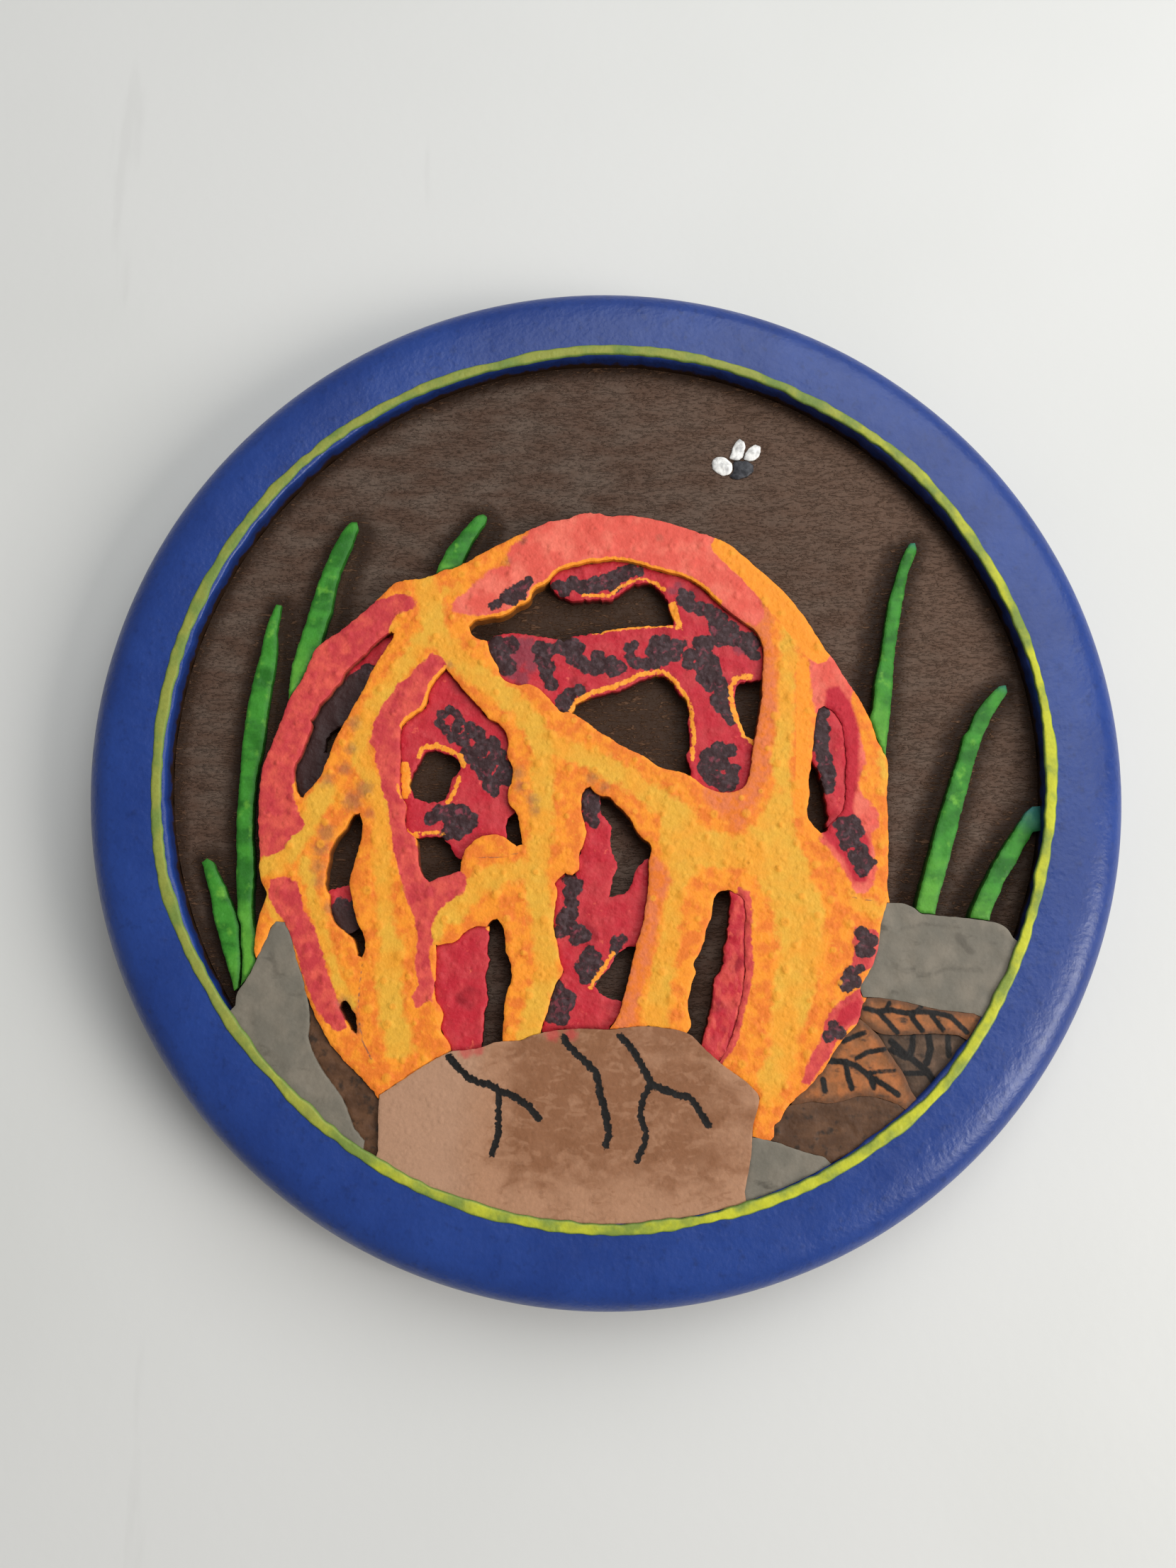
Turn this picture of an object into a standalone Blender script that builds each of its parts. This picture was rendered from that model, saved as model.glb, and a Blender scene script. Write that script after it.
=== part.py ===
"""Round relief plaque: a lattice fungus standing among grass, stones and fallen leaves.

A turned wooden disc has a shallow round dish in its face. The picture stands in the dish as
low relief: every carved region is a plate of its own, and each plate keeps a narrow seam to
its neighbours. The origin is the centre of the flat back, +Z points out of the picture face
and +Y points to the top of the picture. Outlines are in millimetres in that frame.
"""

import math

import bmesh
import bpy

MM = 0.001

# Driving dimensions, in millimetres.
DISC_RADIUS = 63.5
DISC_THICKNESS = 12.7
DISH_DEPTH = 3.0
DISH_RADIUS = 53.05
LINE_RADIUS = 53.8
LINE_WIDTH = 1.1
LINE_PROUD = 0.1
SEAM = 0.3

# Edge rounding of the disc.
FACE_ROUND_WIDTH = 7.5
FACE_ROUND_POWER = 3.2
BACK_ROUND_WIDTH = 5.0
BACK_ROUND_POWER = 2.0
EQUATOR_HEIGHT = DISC_THICKNESS / 2
ARC_STEPS = 8
TURNED_SEGMENTS = 72

# Levels above the back.
GROUND = DISC_THICKNESS - DISH_DEPTH
PANEL_THICKNESS = 0.7
PANEL_BOTTOM = GROUND - PANEL_THICKNESS
DISH_FLOOR = PANEL_BOTTOM - SEAM
RELIEF_BOTTOM = GROUND + SEAM
LEDGE_DEPTH = 0.5
WALL_TAPER = 0.2
NET_TOP = DISC_THICKNESS - 0.2
VOLVA_TOP = DISC_THICKNESS - 0.1
ROCK_TOP = DISC_THICKNESS - 0.3
LEAF_TOP = DISC_THICKNESS - 0.4
SHADOW_TOP = DISC_THICKNESS - 0.7
GLEBA_TOP = DISC_THICKNESS - 1.1
DEEP_GLEBA_TOP = DISC_THICKNESS - 1.5
BLADE_TIP_TOP = GROUND + 0.9
BLADE_FOOT_TOP = GROUND + 2.3
FLY_TOP = RELIEF_BOTTOM + 0.4
CUTTER_BOTTOM = GROUND - 1.0
CUTTER_TOP = DISC_THICKNESS + 4.0

# Outline of the lattice. Its lower edge runs on under the volva, which cuts it back.
NET_OUTLINE = [
    (-26.0, -40.0), (-26.8, -38.6), (-28.0, -37.3), (-29.3, -36.1), (-30.6, -34.8), (-31.9, -33.3),
    (-33.0, -31.6), (-33.9, -30.0), (-34.6, -28.4), (-35.2, -27.0), (-36.4, -26.2), (-38.5, -25.0),
    (-41.0, -24.2), (-41.3, -22.6), (-41.2, -20.6), (-40.9, -18.6), (-40.4, -17.0), (-40.2, -15.7),
    (-40.7, -14.7), (-41.1, -13.4), (-41.2, -11.4), (-41.4, -9.0), (-41.6, -6.4), (-41.6, -4.0),
    (-41.5, -1.6), (-41.0, 0.4), (-40.3, 2.4), (-39.5, 4.6), (-38.9, 6.6), (-38.4, 8.0),
    (-37.6, 9.2), (-36.9, 10.8), (-36.2, 12.4), (-35.4, 14.2), (-34.4, 15.1), (-33.0, 16.0),
    (-31.4, 17.4), (-29.8, 18.8), (-28.2, 20.3), (-27.0, 21.6), (-26.0, 22.5), (-24.6, 22.8),
    (-23.0, 23.0), (-21.8, 23.3), (-20.4, 24.0), (-18.8, 24.4), (-17.2, 25.2), (-15.4, 26.3),
    (-13.2, 27.5), (-11.0, 28.6), (-8.8, 29.7), (-6.6, 30.6), (-4.9, 30.8), (-3.6, 31.4),
    (-2.0, 31.6), (-0.9, 31.5), (0.4, 31.2), (2.4, 31.3), (4.8, 31.0), (7.0, 30.5),
    (9.4, 29.8), (11.6, 29.0), (13.6, 28.3), (15.2, 27.5), (17.0, 26.0), (18.8, 24.3),
    (20.4, 22.8), (22.0, 21.2), (23.4, 19.4), (24.6, 17.6), (25.7, 15.8), (26.7, 14.0),
    (27.8, 12.5), (28.5, 11.3), (29.4, 9.8), (30.3, 8.2), (31.2, 6.6), (32.0, 4.9),
    (32.6, 2.8), (33.2, 1.4), (33.7, 0.2), (33.7, -1.8), (33.5, -4.0), (33.5, -7.0),
    (33.4, -10.0), (33.2, -13.0), (33.1, -16.0), (33.6, -18.4), (32.8, -22.0), (31.6, -25.5),
    (30.4, -27.6), (29.6, -28.8), (29.3, -30.0), (28.8, -31.0), (27.8, -32.0), (26.8, -33.1),
    (26.0, -34.2), (25.0, -35.8), (24.0, -37.0), (22.8, -38.2), (21.5, -39.3), (20.4, -40.4),
    (19.7, -41.6), (18.9, -42.5), (18.8, -43.6), (18.0, -44.6), (15.0, -44.4), (12.0, -40.0),
    (0.0, -38.0), (-16.0, -38.5),
]

# Windows through the lattice, anticlockwise or clockwise from a natural corner.
UPPER_WINDOW = [
    (-17.2, 17.1), (-16.2, 18.0), (-14.8, 18.3), (-13.2, 18.5), (-12.0, 19.0), (-11.0, 19.8),
    (-10.0, 20.2), (-9.4, 21.2), (-8.8, 22.2), (-7.8, 22.6), (-7.0, 23.4), (-6.2, 24.3),
    (-4.6, 24.9), (-2.6, 25.3), (-0.6, 25.7), (1.6, 25.8), (3.4, 25.5), (5.2, 24.9),
    (7.2, 24.3), (9.2, 23.8), (10.6, 23.2), (11.8, 22.4), (13.0, 21.2), (14.4, 19.8),
    (15.8, 18.6), (17.4, 17.4), (18.6, 16.4), (19.2, 15.2), (19.2, 13.0), (19.2, 10.6),
    (19.1, 8.2), (18.7, 5.8), (18.3, 3.8), (17.9, 2.0), (17.6, 0.2), (17.3, -1.6),
    (16.8, -2.9), (15.6, -3.7), (14.0, -3.9), (12.4, -3.5), (11.2, -2.8), (10.0, -1.9),
    (8.6, -1.3), (7.0, -1.0), (5.8, -0.5), (4.6, 0.4), (3.0, 1.2), (1.4, 2.0),
    (0.2, 2.9), (-1.2, 3.7), (-2.4, 4.7), (-3.6, 5.5), (-4.6, 6.0), (-5.6, 6.0),
    (-6.4, 6.8), (-7.4, 8.0), (-8.4, 9.0), (-9.4, 9.5), (-10.8, 9.4), (-12.2, 9.8),
    (-13.1, 10.6), (-13.5, 11.8), (-14.1, 12.8), (-14.6, 14.0), (-14.8, 15.0), (-15.8, 15.2),
    (-16.6, 15.8), (-17.0, 16.5),
]
LEFT_WINDOW = [
    (-19.7, 11.9), (-18.3, 10.2), (-16.7, 8.3), (-15.3, 6.8), (-14.3, 5.6), (-13.0, 4.8),
    (-12.2, 3.8), (-11.8, 2.4), (-11.8, 0.6), (-11.2, -0.8), (-11.3, -2.4), (-11.8, -3.8),
    (-11.5, -5.2), (-10.8, -6.0), (-10.4, -7.2), (-10.1, -8.8), (-10.0, -10.1), (-10.8, -10.4),
    (-11.7, -9.8), (-12.5, -9.2), (-13.8, -9.0), (-15.2, -9.3), (-16.1, -10.0), (-16.9, -11.0),
    (-17.2, -12.2), (-17.4, -13.3), (-18.8, -13.8), (-20.0, -14.2), (-21.2, -14.7), (-22.1, -13.7),
    (-22.6, -12.2), (-22.8, -10.4), (-23.1, -9.2), (-24.1, -8.6), (-24.4, -7.0), (-24.3, -5.2),
    (-24.8, -4.2), (-25.1, -2.6), (-25.1, -0.8), (-25.1, 1.0), (-25.2, 2.8), (-25.1, 4.4),
    (-23.8, 5.8), (-22.3, 7.0), (-21.9, 8.8), (-21.2, 10.2),
]
CRESCENT_WINDOW = [
    (-25.9, 16.2), (-26.5, 16.5), (-27.4, 16.0), (-28.6, 14.8), (-30.0, 13.4), (-31.2, 12.3),
    (-32.2, 11.2), (-32.7, 10.0), (-33.6, 9.0), (-34.3, 8.0), (-35.1, 7.2), (-35.4, 6.2),
    (-36.2, 5.2), (-36.0, 4.3), (-36.4, 3.2), (-36.8, 2.0), (-37.2, 0.8), (-37.8, -0.4),
    (-37.9, -1.8), (-37.6, -3.2), (-37.0, -4.4), (-36.4, -4.5), (-35.7, -3.6), (-34.8, -2.5),
    (-34.1, -1.2), (-33.6, 0.2), (-33.0, 1.8), (-32.4, 3.4), (-31.6, 4.9), (-30.9, 6.4),
    (-30.1, 7.9), (-29.3, 9.4), (-28.7, 10.9), (-27.9, 12.5), (-27.0, 14.0), (-26.3, 15.2),
]
SPINDLE_WINDOW = [
    (-30.4, -6.2), (-29.5, -6.1), (-29.1, -7.6), (-29.2, -9.4), (-29.6, -11.2), (-30.1, -13.0),
    (-30.4, -14.6), (-30.1, -16.0), (-29.8, -17.6), (-29.3, -19.2), (-28.7, -20.4), (-28.3, -21.6),
    (-28.4, -22.9), (-28.8, -23.6), (-29.5, -23.2), (-29.7, -22.2), (-30.1, -21.2), (-31.0, -20.5),
    (-32.0, -19.7), (-32.7, -18.6), (-33.0, -17.6), (-33.0, -16.4), (-33.5, -15.4), (-33.6, -14.0),
    (-33.3, -12.0), (-33.0, -10.2), (-32.3, -9.0), (-31.4, -8.0), (-31.0, -7.1),
]
WEDGE_WINDOW = [
    (-31.2, -28.4), (-30.5, -28.1), (-30.0, -28.6), (-29.7, -29.3), (-29.2, -29.8), (-29.0, -31.0),
    (-29.0, -32.5), (-29.7, -32.0), (-30.4, -31.0), (-31.0, -30.0), (-31.5, -29.2),
]
LOWER_LEFT_WINDOW = [
    (-20.3, -21.8), (-17.8, -21.2), (-16.9, -20.3), (-15.5, -19.6), (-14.3, -19.6), (-13.8, -18.9),
    (-13.0, -18.7), (-12.3, -19.4), (-11.9, -20.8), (-11.8, -22.4), (-11.3, -23.8), (-11.1, -26.0),
    (-11.6, -27.4), (-11.8, -29.4), (-12.0, -31.4), (-12.1, -33.6), (-12.6, -35.0), (-17.8, -35.0),
    (-18.6, -33.2), (-19.6, -31.6), (-19.3, -29.9), (-20.2, -28.4), (-20.3, -25.0),
]
CENTRE_WINDOW = [
    (-8.1, -33.2), (-7.8, -31.4), (-7.2, -29.6), (-6.7, -27.8), (-6.1, -26.2), (-5.4, -25.0),
    (-5.8, -23.6), (-6.0, -22.0), (-6.4, -20.6), (-6.5, -18.8), (-6.3, -17.2), (-6.1, -15.8),
    (-6.4, -14.6), (-5.7, -13.8), (-5.0, -13.3), (-4.2, -13.5), (-3.5, -13.0), (-3.5, -11.6),
    (-3.1, -10.2), (-2.7, -8.8), (-3.0, -7.2), (-3.3, -5.6), (-3.2, -4.0), (-2.8, -3.1),
    (-2.0, -2.9), (-1.3, -3.6), (-0.4, -4.0), (0.5, -4.2), (1.2, -5.1), (2.2, -5.9),
    (3.0, -7.0), (3.6, -8.3), (4.4, -9.2), (5.2, -9.8), (5.4, -10.8), (5.1, -12.0),
    (5.1, -13.6), (5.0, -15.4), (4.7, -17.4), (4.4, -19.2), (3.8, -21.2), (3.3, -23.0),
    (2.8, -25.0), (2.3, -27.0), (1.8, -28.8), (1.2, -30.4), (0.3, -31.6), (0.0, -33.2),
]
LOWER_RIGHT_WINDOW = [
    (13.1, -15.6), (14.0, -15.3), (15.2, -15.6), (16.2, -16.4), (16.5, -18.4), (16.3, -21.0),
    (16.3, -24.0), (16.0, -27.0), (15.3, -29.6), (14.6, -32.2), (13.8, -34.2), (12.9, -35.6),
    (12.0, -36.4), (8.6, -34.0), (9.0, -32.2), (9.5, -31.0), (9.2, -29.6), (9.3, -28.0),
    (9.7, -26.4), (10.1, -25.0), (9.9, -24.1), (10.6, -22.9), (11.2, -21.4), (11.5, -20.0),
    (12.0, -18.8), (12.3, -17.4), (12.5, -16.4),
]
RIGHT_WINDOW = [
    (25.3, 5.4), (25.7, 6.7), (26.5, 7.1), (27.2, 6.7), (28.0, 6.0), (28.7, 4.4),
    (29.0, 2.4), (29.1, 0.4), (28.9, -2.0), (28.8, -4.2), (28.4, -6.0), (27.6, -7.0),
    (26.8, -7.8), (26.2, -8.6), (25.5, -8.8), (24.7, -8.0), (23.9, -6.9), (23.9, -5.4),
    (24.2, -3.8), (24.1, -2.2), (24.4, -0.8), (24.6, 0.4), (24.8, 2.0), (25.0, 3.8),
]

# Openings through the inner layer, down to the ground. Those that reach the lattice run past it.
UPPER_OPENINGS = {
    "long": [
        (-18.0, 15.0), (-14.9, 15.0), (-13.8, 15.7), (-12.4, 16.1), (-10.6, 16.1), (-8.8, 15.8),
        (-7.2, 15.6), (-6.0, 15.3), (-4.8, 15.3), (-3.8, 15.8), (-2.2, 16.0), (-0.4, 16.4),
        (1.6, 16.7), (3.6, 17.0), (5.6, 17.1), (7.4, 17.1), (8.6, 17.4), (8.6, 18.2),
        (8.1, 19.2), (7.9, 20.4), (7.4, 21.4), (6.6, 22.3), (5.6, 23.0), (4.4, 23.1),
        (3.2, 22.8), (2.2, 22.1), (1.2, 21.4), (0.4, 20.9), (-1.4, 21.0), (-3.4, 21.0),
        (-5.0, 21.0), (-6.0, 21.6), (-6.7, 22.3), (-7.0, 24.0), (-10.0, 24.0), (-18.0, 20.0),
    ],
    "triangular": [
        (-4.4, 6.4), (-3.9, 7.4), (-2.8, 8.1), (-1.4, 8.6), (0.0, 9.0), (1.6, 9.4),
        (2.8, 9.9), (4.0, 10.6), (5.4, 11.0), (6.8, 11.2), (7.8, 10.7), (8.5, 9.8),
        (9.1, 8.8), (9.9, 8.1), (10.2, 6.8), (10.2, 5.0), (10.3, 3.4), (10.4, 2.0),
        (10.0, 1.0), (10.2, 0.0), (10.4, -1.0), (10.2, -3.0), (5.0, -3.0), (-1.0, 1.5),
        (-5.0, 5.0),
    ],
    "slit": [
        (15.5, 8.8), (15.8, 9.8), (16.6, 10.4), (17.8, 10.5), (18.8, 10.7), (20.0, 10.8),
        (20.0, 4.4), (18.4, 3.0), (17.6, 2.7), (16.9, 3.2), (16.4, 4.4), (15.9, 5.8),
        (15.5, 7.2),
    ],
}
LEFT_OPENINGS = {
    "high": [
        (-22.8, 0.4), (-22.2, 1.4), (-21.1, 1.9), (-20.0, 1.5), (-18.8, 1.1), (-17.8, 0.4),
        (-17.6, -0.4), (-18.0, -1.4), (-18.6, -2.4), (-18.9, -3.6), (-19.5, -4.6), (-20.8, -5.0),
        (-22.2, -4.9), (-23.3, -4.4), (-23.9, -3.4), (-23.9, -2.0), (-23.5, -0.8),
    ],
    "low": [
        (-23.4, -9.0), (-22.3, -8.9), (-20.8, -8.7), (-19.8, -8.9), (-18.8, -9.7), (-18.2, -10.6),
        (-17.7, -11.5), (-16.6, -12.0), (-16.6, -14.6), (-21.4, -15.6), (-23.8, -13.6),
    ],
    "side": [
        (-12.3, -7.4), (-11.9, -6.4), (-11.0, -5.8), (-9.4, -5.6), (-9.2, -11.2), (-11.6, -11.0),
        (-12.1, -9.8), (-12.2, -8.7),
    ],
}
CRESCENT_OPENING = [
    (-34.7, 1.3), (-33.4, 0.9), (-32.0, 1.2), (-30.4, 5.0), (-32.2, 4.9), (-33.5, 4.3),
    (-34.4, 3.0),
]
SPINDLE_OPENINGS = {
    "high": [
        (-34.5, -15.9), (-33.2, -15.7), (-31.8, -15.3), (-30.4, -15.0), (-28.5, -14.8), (-28.0, -5.0),
        (-34.5, -5.0),
    ],
    "low": [
        (-31.8, -20.8), (-30.4, -20.2), (-29.4, -19.7), (-27.6, -19.6), (-27.6, -24.4), (-31.6, -24.2),
    ],
}
LOWER_LEFT_OPENING = [
    (-14.0, -18.0), (-14.1, -19.8), (-14.2, -21.2), (-14.4, -22.6), (-14.1, -24.0), (-14.6, -25.3),
    (-14.4, -26.8), (-14.3, -28.2), (-14.6, -29.8), (-14.7, -31.4), (-14.8, -33.0), (-15.0, -36.0),
    (-10.5, -36.0), (-10.5, -18.0),
]
CENTRE_OPENINGS = {
    "high": [
        (-1.0, -2.8), (-1.0, -5.0), (-0.9, -6.2), (-0.3, -7.0), (0.3, -8.0), (0.2, -9.2),
        (0.3, -10.4), (0.7, -11.6), (1.0, -12.7), (0.5, -13.8), (0.2, -15.2), (0.0, -16.4),
        (1.2, -16.2), (2.6, -15.6), (3.2, -14.4), (3.7, -13.2), (4.4, -12.2), (5.0, -11.6),
        (6.4, -11.2), (6.4, -8.8), (2.6, -4.0), (0.6, -2.8),
    ],
    "low": [
        (1.2, -22.6), (2.2, -21.9), (3.2, -21.8), (5.0, -21.9), (3.6, -27.0), (2.6, -28.5),
        (1.3, -28.5), (0.2, -28.3), (-0.9, -27.8), (-1.7, -26.7), (-1.0, -25.6), (-0.2, -24.6),
        (0.5, -23.6),
    ],
}
LOWER_RIGHT_OPENING = [
    (14.5, -14.4), (14.8, -16.4), (14.6, -18.2), (14.6, -19.8), (14.2, -21.6), (13.8, -23.0),
    (13.7, -24.4), (12.8, -25.9), (12.5, -27.6), (12.2, -29.2), (11.8, -31.0), (11.3, -32.6),
    (10.8, -34.2), (10.6, -37.0), (7.0, -37.0), (7.0, -28.0), (10.0, -14.0),
]
RIGHT_OPENING = [
    (23.2, 0.6), (25.0, 0.4), (25.6, -0.6), (26.0, -2.0), (26.3, -3.6), (26.6, -5.2),
    (26.8, -6.6), (26.4, -7.8), (26.0, -9.6), (22.8, -9.2),
]

# Ground plates around the lattice. Where one meets the dish wall its outline runs past it.
VOLVA_OUTLINE = [
    (-26.1, -39.1), (-24.4, -38.0), (-22.6, -36.8), (-20.9, -35.7), (-19.4, -34.9), (-18.2, -34.3),
    (-16.2, -34.1), (-14.6, -33.8), (-13.2, -33.3), (-11.6, -33.1), (-10.0, -33.0), (-8.8, -32.5),
    (-7.3, -32.1), (-5.0, -31.8), (-2.4, -31.7), (0.4, -31.8), (2.0, -31.6), (4.4, -31.4),
    (6.4, -31.6), (8.2, -31.9), (9.4, -32.3), (10.4, -33.2), (11.6, -34.4), (13.2, -35.8),
    (14.8, -37.0), (16.4, -38.2), (17.2, -39.2), (17.0, -40.6), (16.5, -42.2), (16.3, -44.0),
    (16.1, -46.0), (15.6, -48.4), (15.1, -50.6), (14.8, -54.0), (0.0, -60.0), (-26.2, -56.0),
    (-25.8, -46.2), (-26.1, -44.8), (-26.1, -43.0), (-26.2, -41.0),
]
ROCK_LEFT_OUTLINE = [
    (-39.0, -19.3), (-38.1, -19.4), (-37.4, -21.0), (-36.9, -22.6), (-36.3, -24.4), (-35.7, -26.0),
    (-35.3, -27.6), (-34.9, -29.4), (-34.8, -31.0), (-34.9, -32.4), (-34.5, -33.8), (-33.8, -35.2),
    (-32.9, -36.6), (-31.8, -38.0), (-30.6, -39.6), (-29.9, -41.2), (-29.3, -42.6), (-28.0, -44.2),
    (-27.0, -45.6), (-28.0, -50.0), (-50.0, -40.0), (-43.3, -32.0), (-43.2, -29.5), (-43.0, -27.4),
    (-42.2, -26.2), (-41.5, -24.9), (-41.0, -23.7), (-40.6, -22.6), (-40.0, -21.2), (-39.5, -20.0),
]
SOIL_LEFT_OUTLINE = [
    (-35.4, -28.8), (-34.4, -28.4), (-33.0, -31.0), (-31.0, -34.0), (-28.0, -36.8), (-25.0, -39.0),
    (-25.0, -47.5), (-28.2, -46.0), (-30.5, -42.0), (-33.0, -38.0), (-35.4, -34.0),
]
ROCK_RIGHT_OUTLINE = [
    (33.2, -17.1), (34.3, -17.2), (35.4, -17.3), (36.2, -17.7), (36.9, -18.3), (38.2, -18.5),
    (39.6, -18.7), (41.4, -18.8), (43.0, -19.0), (45.0, -19.3), (46.0, -19.5), (46.9, -20.0),
    (47.5, -20.8), (47.8, -21.8), (52.0, -22.5), (50.0, -31.0), (44.6, -30.0), (43.4, -29.7),
    (42.0, -29.6), (40.4, -29.4), (38.6, -29.2), (36.4, -28.7), (34.0, -28.2), (32.0, -27.9),
    (29.9, -27.8), (29.7, -26.9), (30.3, -25.8), (31.0, -24.7), (31.6, -23.4), (31.9, -22.0),
    (32.2, -20.6), (32.5, -19.2), (32.9, -18.0),
]
ROCK_BOTTOM_OUTLINE = [
    (16.0, -43.7), (17.8, -44.1), (19.2, -44.4), (20.6, -44.9), (22.4, -45.5), (24.4, -46.0),
    (27.5, -46.8), (26.0, -52.0), (14.0, -55.0), (14.8, -50.0),
]
LEAF_UPPER_OUTLINE = [
    (29.0, -27.4), (44.0, -28.8), (48.0, -30.0), (46.0, -33.5), (43.6, -32.5), (41.4, -32.2),
    (39.0, -32.0), (36.2, -32.0), (33.6, -32.1), (31.6, -31.9), (30.2, -31.2), (28.8, -30.0),
]
LEAF_LOWER_OUTLINE = [
    (29.2, -30.4), (30.4, -31.6), (31.2, -32.3), (31.9, -33.4), (32.6, -34.6), (33.5, -35.9),
    (34.3, -37.4), (34.9, -39.0), (35.3, -40.2), (33.4, -39.9), (31.6, -39.3), (30.0, -39.0),
    (28.4, -39.1), (26.8, -39.6), (25.2, -39.8), (23.4, -39.6), (21.8, -39.9), (20.4, -40.2),
    (20.6, -38.4), (24.0, -34.6), (27.0, -31.4),
]
LEAF_SHADOWED_OUTLINE = [
    (31.2, -31.4), (36.2, -31.5), (41.6, -31.6), (46.0, -32.0), (42.0, -40.0), (36.0, -44.0),
    (34.9, -40.4), (34.4, -38.6), (33.2, -36.0), (31.5, -33.4), (30.8, -32.0),
]
SOIL_RIGHT_OUTLINE = [
    (17.6, -43.0), (19.6, -39.6), (23.4, -39.0), (28.4, -38.5), (31.6, -38.8), (35.4, -39.6),
    (40.0, -42.0), (32.0, -50.0), (26.4, -47.4), (22.4, -46.2), (19.0, -45.0), (17.0, -44.6),
]

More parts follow.
